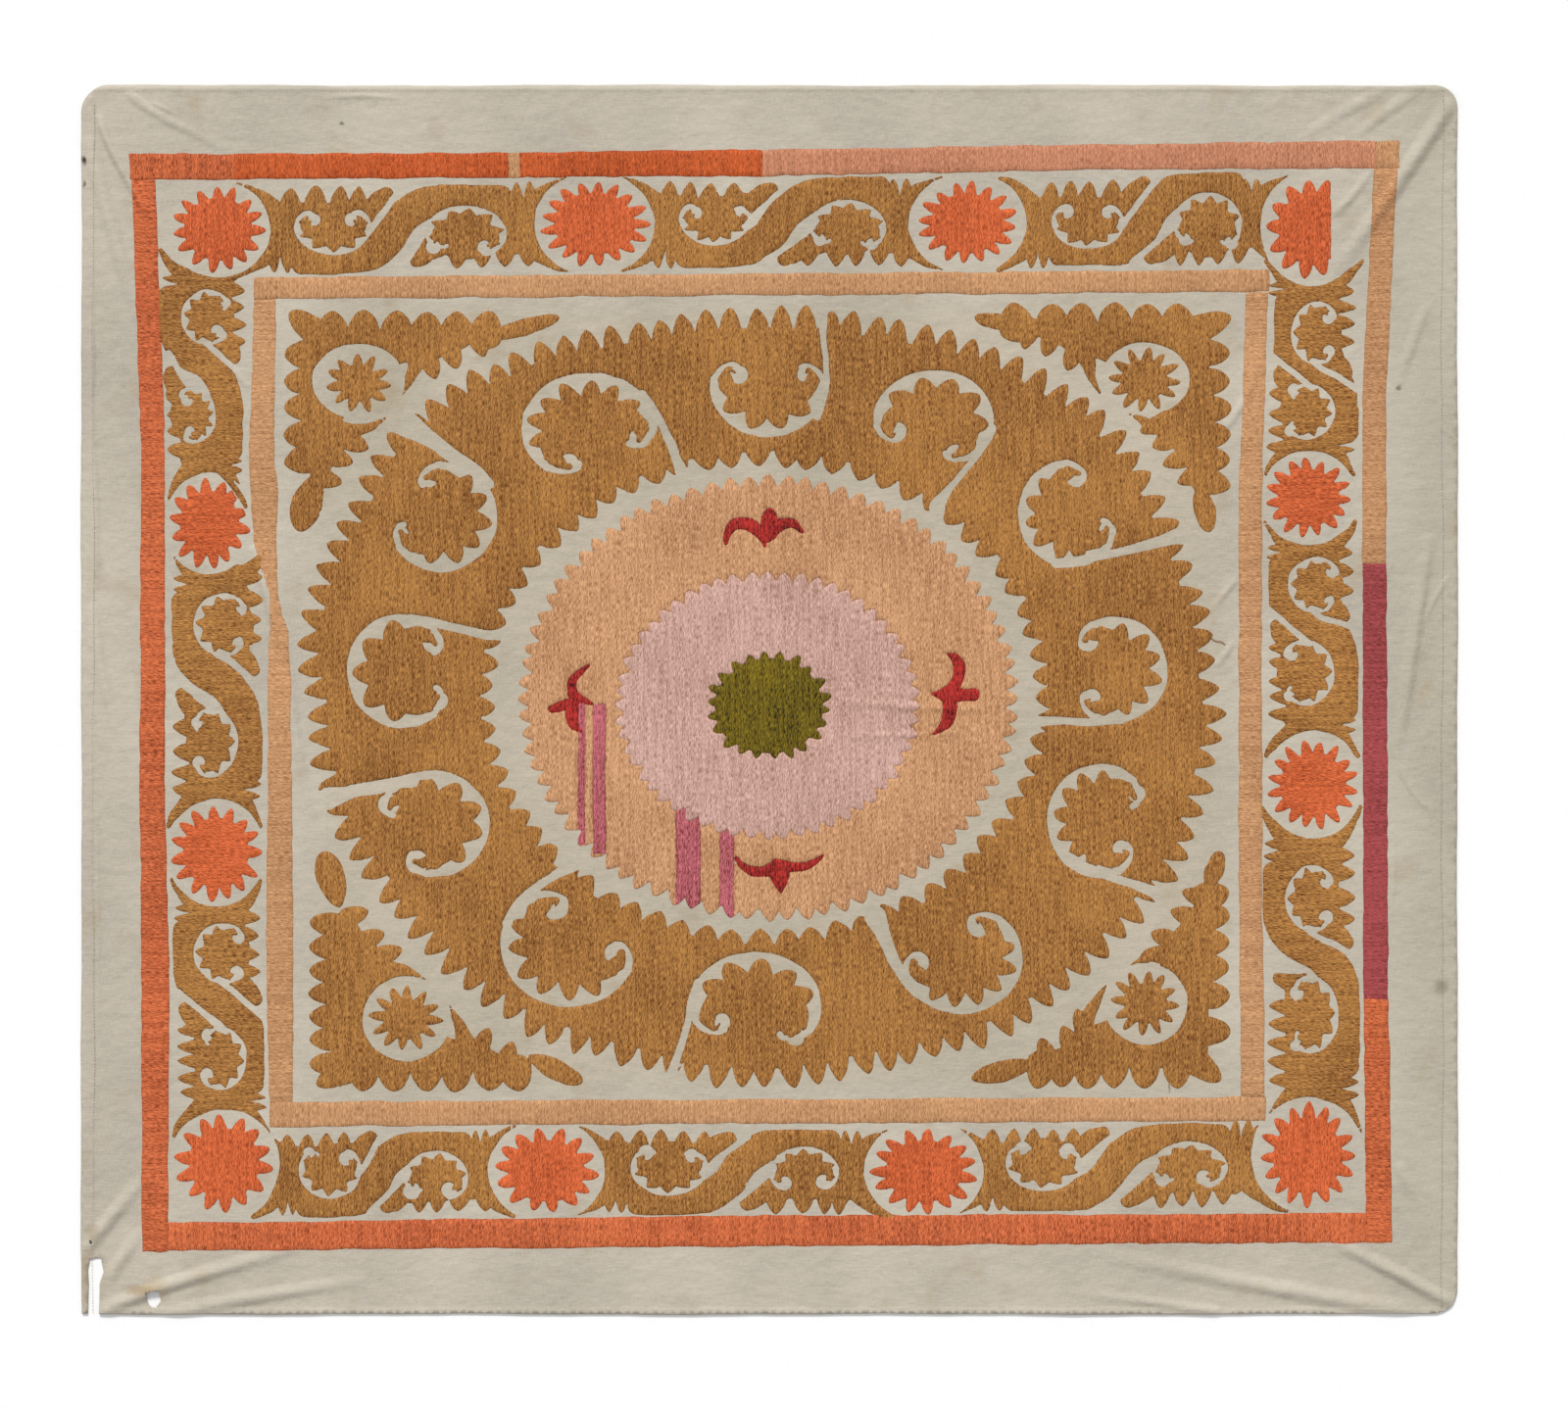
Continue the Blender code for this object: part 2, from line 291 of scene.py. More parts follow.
def stroke(points, steps=6):
    """A brush stroke along rows of x, y and full width."""
    shapes = []
    line = curve(points, steps)
    for (x0, y0, w0), (x1, y1, w1) in zip(line, line[1:]):
        where, x, y = window((x0, x1), (y0, y1), max(w0, w1) / 2)
        share, distance = nearest_on_run(x, y, (x0, y0), (x1 - x0, y1 - y0))
        shapes.append((where, np.clip((w0 + (w1 - w0) * share) / 2 - distance, -FAR, FAR)))
    return shapes


def within(loop, x, y):
    """Which points lie inside a closed loop."""
    inside = np.zeros(x.shape, bool)
    for (x0, y0), (x1, y1) in zip(loop, np.roll(loop, -1, axis=0)):
        if y0 != y1:
            crossing = (y0 > y) != (y1 > y)
            inside ^= crossing & (x < x0 + (y - y0) / (y1 - y0) * (x1 - x0))
    return inside


def region(points):
    """The inside of a closed outline of straight sides."""
    where, x, y = window(*zip(*points))
    distance = np.full(x.shape, FAR)
    for start, end in zip(points, points[1:] + points[:1]):
        run = (end[0] - start[0], end[1] - start[1])
        distance = np.minimum(distance, nearest_on_run(x, y, start, run)[1])
    return [(where, np.where(within(np.array(points), x, y), distance, -distance))]


def round_region(points, middle):
    """The inside of a smooth closed line round a middle point, by its radius at each angle."""
    rows = np.array(points, float)
    line = curve(np.vstack([rows[-1], rows, rows[:2]]))
    angles = np.arctan2(line[:, 1] - middle[1], line[:, 0] - middle[0])
    radii = np.hypot(line[:, 1] - middle[1], line[:, 0] - middle[0])
    order = np.argsort(angles)
    where, x, y = window(*line.T)
    angle = np.arctan2(y - middle[1], x - middle[0])
    radius = np.interp(angle, angles[order], radii[order], period=2 * math.pi)
    return [(where, np.clip(radius - np.hypot(x - middle[0], y - middle[1]), -FAR, FAR))]


def band(first, second, start, end, upright=False):
    """A strip from start to end between two edges, each of them rows of place along, place across."""
    across = [row[1] for row in first + second]
    if upright:
        where, y, x = window(across, (start, end))
    else:
        where, x, y = window((start, end), across)
    low = np.interp(x, *zip(*first))
    high = np.interp(x, *zip(*second))
    inside = np.minimum(np.minimum(y - low, high - y), np.minimum(x - start, end - x))
    return [(where, np.clip(inside, -FAR, FAR))]


def on_oval(cx, cy, rx, ry, angle):
    """The place on an oval at an angle."""
    return (cx + rx * math.cos(angle), cy + ry * math.sin(angle))


def flower(patch, cx, cy, rx, ry, petals, core, turn):
    """A core with petals round it, each a little different in length, width and place."""
    patch.add(oval(cx, cy, rx * (core + 0.04), ry * (core + 0.04)))
    for number in range(petals):
        angle = math.radians(turn) + (number + rng.uniform(-0.1, 0.1)) * 2 * math.pi / petals
        reach = rng.uniform(0.95, 1.03)
        inner = core * 0.7
        base = on_oval(cx, cy, rx * inner, ry * inner, angle)
        tip = on_oval(cx, cy, rx * reach, ry * reach, angle)
        half = math.pi * (rx + ry) / 2 * core / petals * 1.02 * rng.uniform(0.95, 1.08)
        patch.add(petal(base, tip, half, 2.3, 1.8))


def toothed_oval(patch, cx, cy, rx, ry, teeth, depth, inward=False):
    """Teeth round an oval's rim; inward ones reach in from it and the oval itself stays bare."""
    sign = -1 if inward else 1
    if not inward:
        patch.add(oval(cx, cy, rx, ry))
    for number in range(teeth):
        angle = (number + rng.uniform(-0.12, 0.12)) * 2 * math.pi / teeth
        length = sign * depth * rng.uniform(0.88, 1.12)
        root = -sign * 0.5 * depth
        half = math.pi * math.hypot(rx * math.sin(angle), ry * math.cos(angle)) / teeth * 1.1
        base = on_oval(cx, cy, rx + root, ry + root, angle)
        tip = on_oval(cx, cy, rx + length, ry + length, angle)
        patch.add(petal(base, tip, half, 1.7, 1.5))


def comb(patch, path, pitch, depth, half_width, sink):
    """Teeth on the left-hand side of a path of x, y, as one walks along it in the drawing."""
    line = curve(path, 12)
    far = np.concatenate([[0], np.cumsum(np.hypot(*np.diff(line, axis=0).T))])
    teeth = max(1, round(far[-1] / pitch))
    for number in range(teeth):
        spot = (number + 0.5 + rng.uniform(-0.1, 0.1)) * far[-1] / teeth
        here, before, after = (
            np.array([np.interp(spot + shift, far, places) for places in line.T]) for shift in (0, -6, 6)
        )
        run = (after - before) / math.dist(after, before)
        out = np.array([run[1], -run[0]])
        length = depth * rng.uniform(0.88, 1.12)
        tip = here + out * length + run * rng.uniform(-1.5, 1.5)
        patch.add(petal(here - out * sink, tip, half_width * rng.uniform(0.95, 1.08), 1.7, 1.6))


# Brown motifs

# How pointed the teeth of the ring's leaves are
RING_SHARPNESS = 2.2

# Degrees from the C's ends to its thick part and to the first tooth, and the C's thin ends over
# the hooks as degrees back, share of the leaf's radii and width as a share of its mean radius
RIM_GAP = 14
TOOTH_GAP = 22
RIM_STEPS = 12
C_ENDS = ((15, 0.945, 0.11), (1, 0.88, 0.085), (-11, 0.76, 0.08), (-12, 0.66, 0.1))


def curled_leaf(patch, middle, radii, aim, bulbs, teeth, channel=None):
    """A toothed leaf inside a C-shaped channel whose two ends curl in round bulbs.

    aim is where the leaf points, in degrees clockwise from the drawing's right. Each bulb is
    x, y and radius; the first is the one met first going clockwise from behind the leaf.
    channel is the rows of x, y and width by which the C runs out to an edge."""
    cx, cy = middle
    rx, ry = radii
    mean = (rx + ry) / 2

    def at(angle, share, width=None):
        place = on_oval(cx, cy, rx * share, ry * share, math.radians(aim + angle))
        return place if width is None else place + (width * mean,)

    reach = []
    for (x, y, _), side in zip(bulbs, (-1, 1)):
        offset = math.degrees(math.atan2((y - cy) / ry, (x - cx) / rx)) - aim
        offset = (offset + 180) % 360 - 180
        reach.append(offset if offset * side > 0 else offset + 360 * side)
    # The C, thick under the teeth, and its thin ends over the hooks
    rim = []
    for step in range(RIM_STEPS + 1):
        angle = reach[0] + RIM_GAP + (reach[1] - reach[0] - 2 * RIM_GAP) * step / RIM_STEPS
        width = 0.11 + (0.17 if channel is None else 0.25) * min(1.0, min(step, RIM_STEPS - step) / 3)
        rim.append(at(angle, 1 - width / 2, width))
    patch.cut(stroke(rim))
    for back, offset in ((1, reach[0]), (-1, reach[1])):
        patch.cut(stroke([at(offset + back * turn, share, width) for turn, share, width in C_ENDS]))
    # The teeth, the first and last of them the lobes that carry the hooks
    spread = reach[1] - reach[0] - 2 * TOOTH_GAP
    for number in range(teeth + 2):
        lobe = number in (0, teeth + 1)
        step = spread / (teeth + 1)
        angle = reach[0] + TOOTH_GAP + step * number + rng.uniform(-2, 2)
        if channel is None:
            before, after = at(angle - step / 2, 0.9), at(angle + step / 2, 0.9)
            half = 0.58 * math.hypot(after[0] - before[0], after[1] - before[1])
            tip = at(angle, 0.93 if lobe else rng.uniform(0.91, 0.97))
            patch.add(petal(at(angle, 0.3), tip, half, 1.5, 1.3))
            continue
        half = mean * 0.72 * math.radians(step) / 2 * (1.2 if lobe else 1.06)
        tip = (0.86 if lobe else 0.9) * rng.uniform(0.97, 1.03)
        patch.add(petal(at(angle, 0.36), at(angle, tip), half, RING_SHARPNESS, RING_SHARPNESS * 0.8))
    for (x, y, radius), back, offset in zip(bulbs, (1, -1), reach):
        patch.cut(oval(x, y, radius, radius))
        if channel is None:
            # A short hook that leaves the bulb open
            out = math.hypot((x - cx) / rx, (y - cy) / ry)
            if out < 0.72:
                arm = [at(offset, 0.93, 0.12), at(offset - back * 10, 0.84, 0.15)]
            else:
                arm = [at(offset + back * 5, (0.96 + out) / 2, 0.13)]
            patch.cut(stroke([at(offset + back * 16, 0.945, 0.11)] + arm + [(x, y, 1.3 * radius)]))
            bend = at(offset + back * 14, min(0.78, out + 0.08), 0.15)
            share = 0.65 * radius / math.hypot(bend[0] - x, bend[1] - y)
            point = (x + (bend[0] - x) * share, y + (bend[1] - y) * share, 0.08 * mean)
            patch.add(stroke([at(offset + back * 28, 0.74, 0.26), bend, point]))
            continue
        patch.add(stroke([at(offset + back * 20, 0.7, 0.24), at(offset + back * 5, 0.76, 0.15)]))
        bend = at(offset - back * 3, 0.76, 0.1)
        tip = (x + (bend[0] - x) * 0.35, y + (bend[1] - y) * 0.35, 0.045 * mean)
        patch.add(stroke([at(offset + back * 8, 0.79, 0.13), bend, tip]))
    if channel is not None:
        patch.cut(stroke(channel))


Leaf = namedtuple("Leaf", "middle radii aim first_bulb second_bulb teeth channel")
RING_LEAVES = [
    Leaf((784, 394), (60, 51), 90, (821, 382, 7.5), (753.5, 382.7, 9), 4,
         [(834, 425, 7), (843, 398, 6), (843, 370, 5.5), (840, 345, 6), (840, 325, 8), (841, 308, 11)]),
    Leaf((601, 437), (69.5, 55.5), 240, (581, 471, 8.5), (652.5, 447, 10), 7,
         [(655, 402, 7), (667, 418, 7), (677, 436, 8), (686, 456, 9), (692, 472, 10), (700, 494, 16)]),
    Leaf((450, 527), (58, 56), 24, (438, 489, 7.6), (409, 545, 7.5), 6,
         [(500, 494, 9), (484, 479, 11), (461, 465, 13), (440, 449, 15), (414, 432, 26), (400, 420, 34)]),
    Leaf((411, 685), (57, 58), 180, (448, 716, 9), (442.5, 655.4, 10.7), 5,
         [(418, 630, 7), (435, 634, 8), (458, 640, 8), (485, 646, 8), (505, 649, 10), (524, 645, 14)]),
    Leaf((440, 841), (60, 54), 338, (397, 821, 10.5), (425.4, 879.5, 11), 5,
         [(438, 791, 8), (420, 793, 8), (405, 798, 10), (383, 803.5, 14), (358, 808.5, 13), (335, 815, 22)]),
    Leaf((581.5, 964), (71, 62.5), 132, (628, 972.7, 10.5), (567.4, 926, 12), 6,
         [(518, 942, 10), (526, 927, 9), (538, 914, 9), (552, 903, 8), (568, 893, 9), (600, 873, 20)]),
    Leaf((771, 1026), (68, 53.5), 276, (737, 1043, 8), (812, 1057.5, 9.5), 5,
         [(712, 1004, 9), (706, 1022, 8), (701, 1044, 6.5), (695, 1066, 7), (689, 1085, 8), (683, 1103, 14)]),
    Leaf((980, 978), (63.5, 55.5), 54, (997.5, 945.5, 11), (938, 982.4, 9.5), 6,
         [(936, 1014, 9), (924, 1001, 10), (914, 984, 11), (906, 967, 12), (900, 951, 15), (893, 936, 22)]),
    Leaf((1123, 838), (54, 58.5), 189, (1144.2, 867.4, 8.5), (1160, 810.5, 8.5), 7,
         [(1084, 870, 9), (1098, 880, 9), (1115, 888, 8), (1135, 896, 7.5), (1155, 902, 8.5),
          (1178, 911, 13), (1197, 922, 26)]),
    Leaf((1135, 684), (57, 54), 358, (1111.6, 655.8, 9), (1114.7, 711.6, 8.5), 6,
         [(1145, 735, 7), (1125, 736, 7), (1102, 736.5, 7), (1080, 735, 8), (1062, 736, 10),
          (1040, 742, 20)]),
    Leaf((1092, 524), (53, 55), 153, (1130, 542, 8.5), (1098.8, 486, 10.5), 6,
         [(1078, 575, 9), (1098, 572.5, 9), (1125, 567, 8), (1150, 561.5, 8.5), (1178, 554, 10),
          (1203, 547, 16), (1228, 541, 26)]),
    Leaf((953, 430), (62, 51), 290, (915.7, 441.5, 10), (974.9, 462.7, 9), 5,
         [(1013, 437, 7), (1007, 451, 6.5), (993, 470, 6), (978, 488, 6), (966, 502, 8), (955, 517, 14)]),
]

# The valleys between the big ring's outer teeth, clockwise from the upper left
RING_VALLEYS = [
    (417, 445), (475, 405), (520, 384), (560, 365), (610, 356), (660, 347), (715, 339), (770, 335),
    (830, 335), (880, 342), (930, 351), (975, 361), (1020, 376), (1055, 396), (1090, 419), (1125, 447),
    (1150, 478), (1170, 515), (1190, 560), (1205, 600), (1219, 655), (1223, 690), (1228, 728),
    (1226, 755), (1220, 785), (1211, 815), (1200, 848), (1178, 893), (1155, 921), (1122, 957),
    (1085, 990), (1045, 1022), (1005, 1045), (950, 1061), (900, 1072), (840, 1084), (770, 1091),
    (700, 1083), (650, 1070), (600, 1056), (550, 1038), (515, 1015), (480, 990), (445, 955),
    (415, 920), (385, 880), (358, 838), (345, 800), (337, 765), (335, 735), (331, 700), (325, 670),
    (322, 645), (332, 618), (340, 595), (350, 570), (362, 545), (375, 518), (388, 493), (402, 468),
]
RING_MIDDLE = (775, 712)
RING_OPENING = (780, 712, 291, 251)
OUTER_PITCH = 24.5
INNER_TEETH = 67


def ring(patch):
    """The big ring round the medallion, toothed outside and inside, with its curled leaves."""
    patch.add(round_region(RING_VALLEYS, RING_MIDDLE))
    comb(patch, RING_VALLEYS + RING_VALLEYS[:1], OUTER_PITCH, 21, 13, 12)
    patch.cut(oval(*RING_OPENING))
    toothed_oval(patch, *RING_OPENING, INNER_TEETH, 15, inward=True)
    for leaf in RING_LEAVES:
        bulbs = (leaf.first_bulb, leaf.second_bulb)
        curled_leaf(patch, leaf.middle, leaf.radii, leaf.aim, bulbs, leaf.teeth, leaf.channel)


# A corner spray about its bare circle: its two arms run away from the corner, x and y being
# measured from the circle's middle in the top left one and flipped in the others. The outer
# teeth's tips are rows of one coordinate, with the other in top_reach and side_reach.
Spray = namedtuple("Spray", "x y rx ry flip_x flip_y petals star_rx star_ry lobe top_tips top_reach "
                            "side_tips side_reach top_teeth side_teeth top_horn side_horn leaf drop")
Blade = namedtuple("Blade", "root tip half_width")
INNER_BEND = ((48, -20), (0, 0), (-20, 48))
SPRAYS = [
    Spray(366, 390, 47, 38, 1, 1, 11, 34, 31, (-71, -71), (-27, 6, 39, 70, 100, 134), -73,
          (-28, -1, 26, 54, 83), -76, [(79, -3), (101, -13), (128, -26)],
          [(12, 67), (-5, 83), (-16, 104)], (40, 17), (27, 38),
          Blade((129, -45), (205, -67), 9), Blade((-42, 93), (-61, 152), 16)),
    Spray(1168.4, 387, 45, 36.5, -1, 1, 12, 38, 33, (-87, -65), (-33, -2, 32, 66, 95, 135), -78,
          (-26, 3, 31, 57, 82, 108), -87, [(79, -8), (103, -23), (124, -30)],
          [(5, 53), (-7, 70), (-19, 88), (-32, 105)], (47, 13), (15, 34),
          Blade((128, -54), (175, -64), 8), Blade((-55, 107), (-65, 157), 11)),
    Spray(414.6, 1040, 45, 43, 1, -1, 12, 38, 34, (-92, -66), (-44, -13, 21, 51, 85, 116), -74,
          (-46, -20, 3, 26, 50, 74, 100), -99, [(83, -9), (109, -22)],
          [(-3, 71), (-22, 88), (-38, 110)], (43, 13), (26, 34),
          Blade((125, -36), (180, -66), 11), Blade((-67, 113), (-85, 172), 15)),
    Spray(1168, 1024, 42.5, 41.5, -1, -1, 12, 36, 34, (-77, -78), (-33, 1, 31, 58, 85, 110), -87,
          (-28, 8, 37, 63, 89, 113), -87, [(70, -6), (84, -22), (107, -35)],
          [(-6, 72), (-27, 95), (-38, 115)], (40, 17), (17, 36),
          Blade((112, -61), (176, -77), 11), Blade((-65, 114), (-77, 156), 10)),
]


def blade(blade_form, at):
    """A spindle-shaped leaf from its root to its tip, widest a little past the middle."""
    root, tip = np.array(blade_form.root), np.array(blade_form.tip)
    belly = tuple(root + (tip - root) * 0.52)
    half = blade_form.half_width
    return (petal(at(*belly), at(*blade_form.tip), half, 2.2, 1.9)
            + petal(at(*belly), at(*blade_form.root), half, 1.8, 1.5))


def spray(patch, form):
    """Two toothed arms round a bare circle, two horns that nearly close it, and a star in it."""

    def at(x, y, width=None):
        place = (form.x + form.flip_x * x + rng.uniform(-0.8, 0.8),
                 form.y + form.flip_y * y + rng.uniform(-0.8, 0.8))
        return place if width is None else place + (width,)

    top, side = form.top_reach, form.side_reach
    far_x, far_y = form.top_tips[-1], form.side_tips[-1]
    # The outline of the two arms, and the blunt lobe at the corner
    inner_edge = [at(x - 6, y - 17) for x, y in reversed(form.top_teeth)]
    inner_edge += [at(*place) for place in INNER_BEND]
    inner_edge += [at(x - 17, y - 6) for x, y in form.side_teeth]
    patch.add(region([at(side + 22, top + 22), at(far_x - 2, top + 20), at(far_x - 6, top + 34)]
                     + inner_edge + [at(side + 34, far_y - 4), at(side + 20, far_y)]))
    patch.add(petal(at(-26, -38), at(*form.lobe), 16, 2.6, 1.9))
    # The teeth along the top arm and then along the side one, whose places are the other way round
    for tips, reach, order in ((form.top_tips, top, 1), (form.side_tips, side, -1)):
        pitch = (tips[-1] - tips[0]) / (len(tips) - 1)
        for place in tips:
            root = (place - (5 if place == tips[-1] else 0), reach + 26)
            patch.add(petal(at(*root[::order]), at(*(place, reach)[::order]), pitch * 0.54, 2.0, 1.7))
    for x, y in form.top_teeth + form.side_teeth:
        steep = 8 if (x, y) in form.top_teeth else 22
        patch.add(petal(at(x - steep, y - 30 + steep), at(x, y), 10.5, 1.9, 1.6))
    x, y = form.top_horn
    patch.add(stroke([at(62, -34, 24), at(58, -16, 16), at(x + 8, y - 14, 9), at(x, y, 3)]))
    x, y = form.side_horn
    patch.add(stroke([at(-26, 48, 22), at(-8, 50, 15), at(x - 14, y + 8, 9), at(x, y, 3)]))
    patch.cut(oval(*at(0, 0), form.rx, form.ry))
    flower(patch, *at(0, 1), form.star_rx, form.star_ry, form.petals, 0.58, 5)
    patch.add(blade(form.leaf, at))
    patch.add(blade(form.drop, at))


# Suns in the border, the bare oval round each, and their core's share of their radius
SUN_CORE = 0.68
Sun = namedtuple("Sun", "x y rx ry petals turn bare_rx bare_ry")
SUNS = [
    Sun(222.7, 233.6, 48, 45, 15, 4, 53, 49),
    Sun(606.4, 228.6, 57, 44, 17, 0, 61.5, 52.5),
    Sun(987.6, 227.7, 51, 43, 16, 6, 60, 52),
    Sun(1338.0, 233.0, 47, 52, 13, 17, 52, 59),
    Sun(1335.4, 508.0, 44, 41, 15, 3, 49, 48),
    Sun(1339.3, 800.6, 47, 46, 16, 10, 50, 55),
    Sun(1334.7, 1179.5, 49, 54, 16, 0, 58, 59),
    Sun(943.0, 1195.0, 55, 44, 15, 12, 61, 52),
    Sun(557.9, 1194.8, 54, 44, 14, 5, 59.5, 52),
    Sun(228.8, 1186.6, 50, 50, 14, 9, 56.5, 54),
    Sun(221.0, 870.0, 47, 50, 15, 2, 50, 55),
    Sun(214.0, 534.3, 42, 47, 14, 7, 46, 52),
]

# Where the pinched cloth hides part of the left sun, and the brown arm that runs along it
PINCHED_AWAY = [(226, 486), (237, 500), (247, 516), (254, 534), (258, 550), (275, 550), (275, 480)]
PINCHED_ARM = [(222, 477, 10), (236, 493, 7), (246, 508, 6), (250, 517, 4.5)]

# Scrolls between two suns: the run along the border, its middle line and its half height.
# Each half has its comb tips along the run, the tip of its horn, the ends and the far side of
# the C round its leaf, the far edge of the stem, and the round bulbs on the C's two ends.
# Places are along and then across the border; the first half is the upper or left one.
Scroll = namedtuple("Scroll", "upright start end start_middle end_middle start_half end_half halves")
Half = namedtuple("Half", "tips horn leaf_start leaf_end leaf_far stem_edge sun_bulb horn_bulb")
SCROLLS = [
    Scroll(False, 276, 545, 234, 229.5, 46, 46, (
        Half((298, 323, 348, 367), (398, 190.5), 300, 380, 258.5, 279.5, (321, 224, 6), (358, 224, 6.5)),
        Half((539, 515.5, 491, 466), (422, 273), 517, 434, 211, 189, (494, 252, 6), (442, 253, 7)))),
    Scroll(False, 668, 928, 229, 228, 46, 46, (
        Half((684, 704, 725, 750), (790.6, 187), 693, 767, 249.5, 273, (711, 217, 5.5), (756, 216, 5.5)),
        Half((919, 897, 873, 853, 824), (795, 269.5), 904.5, 826, 205, 180.5, (890, 249, 6), (836, 245, 6)))),
    Scroll(False, 1049, 1286, 228.5, 226, 46.5, 45, (
        Half((1073, 1093, 1111.5, 1136), (1170.6, 180.5), 1073, 1147, 253, 270.5,
             (1089, 216, 7), (1130.5, 217, 6)),
        Half((1263, 1242, 1223, 1204), (1169, 268.5), 1267, 1198, 196.5, 176.5,
             (1256, 248.5, 6.5), (1209, 245, 6)))),
    Scroll(True, 288, 462, 1340, 1337, 48, 45, (
        Half((298, 315, 331, 350), (383.5, 1380), 308.5, 373, 1318, 1300, (325.5, 1356, 6), (359, 1356, 6)),
        Half((456, 439.5, 422.5, 401.5), (377, 1299), 448, 392, 1362, 1385.5,
             (439.5, 1317, 6), (398, 1320, 6)))),
    Scroll(True, 556, 748, 1337.5, 1338.5, 46, 47, (
        Half((564.5, 582.5, 603), (630, 1378), 568.5, 625.5, 1314.5, 1295,
             (583.5, 1358, 5), (613, 1356.5, 5)),
        Half((728, 710.5, 695.5, 676, 661), (636.5, 1296), 720, 653, 1361, 1385.5,
             (710.5, 1316, 5.5), (668.5, 1318, 6)))),
    Scroll(True, 857, 1122, 1337.5, 1340, 49, 47.5, (
        Half((873.5, 892, 917.5, 939), (964, 1382), 883.5, 952, 1312, 1289, (900.5, 1353, 6), (937, 1353, 7)),
        Half((1101.5, 1083, 1064.5, 1044.5, 1026), (1000.5, 1297.5), 1076, 995, 1364.5, 1387,
             (1067, 1323, 6), (1013, 1323, 7)))),
    Scroll(False, 1002, 1278, 1195, 1188, 43, 47, (
        Half((1012.5, 1034, 1054, 1075, 1096), (1131, 1151), 1026, 1104, 1215, 1236,
             (1043, 1172, 7), (1090, 1175, 8)),
        Half((1247, 1226, 1206, 1184), (1146, 1231), 1252.5, 1175, 1166, 1146.5,
             (1228, 1201.5, 7.5), (1186, 1203.5, 7)))),
    Scroll(False, 617, 880, 1195, 1198, 44, 45.5, (
        Half((630, 654, 675, 698, 719), (750, 1157.5), 643.5, 723, 1219.5, 1240,
             (660, 1176, 7.5), (706, 1179.5, 6.5)),
        Half((856, 841, 818, 791), (757, 1234), 855.5, 785, 1171, 1153, (839, 1206, 7), (801, 1207.5, 6.5)))),
    Scroll(False, 285, 498, 1198, 1196, 43, 44.5, (
        Half((293.5, 314, 334, 352), (381, 1154.5), 304.5, 369.5, 1222, 1241.5,
             (315, 1176.5, 6), (353, 1182.5, 7)),
        Half((495, 468, 446, 428), (391, 1237), 478, 412, 1175, 1155, (458, 1215, 7.5), (420.5, 1216, 8.5)))),
    Scroll(True, 281, 483, 211, 210, 46, 38, (
        Half((296.5, 313.5, 332, 349), (369.5, 245.5), 295.5, 352, 184.5, 162,
             (308.5, 231, 5), (337.5, 222, 6)),
        Half((459, 439.5, 423.5, 404), (375, 170.5), 453.5, 395, 220, 247.5,
             (440.5, 194, 5), (409, 191, 5.5)))),
    Scroll(True, 587, 815, 224, 220, 48, 47, (
        Half((589.5, 612.5, 633, 651.5), (686.5, 265.5), 606.5, 669.5, 197, 175.5,
             (621, 246.5, 5.5), (657, 243, 6)),
        Half((805, 788, 766.5, 741), (706, 179), 794, 723, 242, 267.5, (778.5, 203, 6.5), (737.5, 201, 6)))),
    Scroll(True, 924, 1133, 222, 226, 45, 48, (
        Half((936.5, 954.5, 973.5, 991.5), (1023, 267.5), 942, 1003, 198, 176.5,
             (956.5, 244, 6), (992.5, 242, 7)),
        Half((1114, 1099.5, 1081.5, 1067, 1050), (1025.5, 182.5), 1113, 1048, 252, 270,
             (1097, 211.5, 6.5), (1056, 212, 6)))),
]
SCROLL_HALF_LENGTH = 130
SCROLL_HALF_HEIGHT = 46
LEAF_HALF_HEIGHT = 26

# What the halves share, as rows of x, y and width from the unit's middle: the crescent beside
# the sun, the trunk, the bar over the leaf, the S stem's two roots, and the small teeth's places
CRESCENT = [(-162, -46, 6), (-150, -41, 10), (-136, -30, 17), (-122, -12, 27), (-118, 0, 28),
            (-122, 12, 27), (-136, 30, 17), (-150, 40, 10), (-162, 46, 6)]
TRUNK = [(-110, -20, 22), (-108, 0, 22), (-104, 24, 22)]
BAR = [(-108, -21, 15), (-75, -19, 15), (-52, -19, 16)]
STEM_ROOTS = ((-108, 8, 28), (-105, 20, 30))
SMALL_TEETH = (-126, -113)

# The stem's way over the middle line: shares of the way along and across to the crossing, and
# its width there
CROSSING_STEPS = ((0.5, 0.22), (0.83, 0.6), (1.0, 1.0))
CROSSING_WIDTH = 35


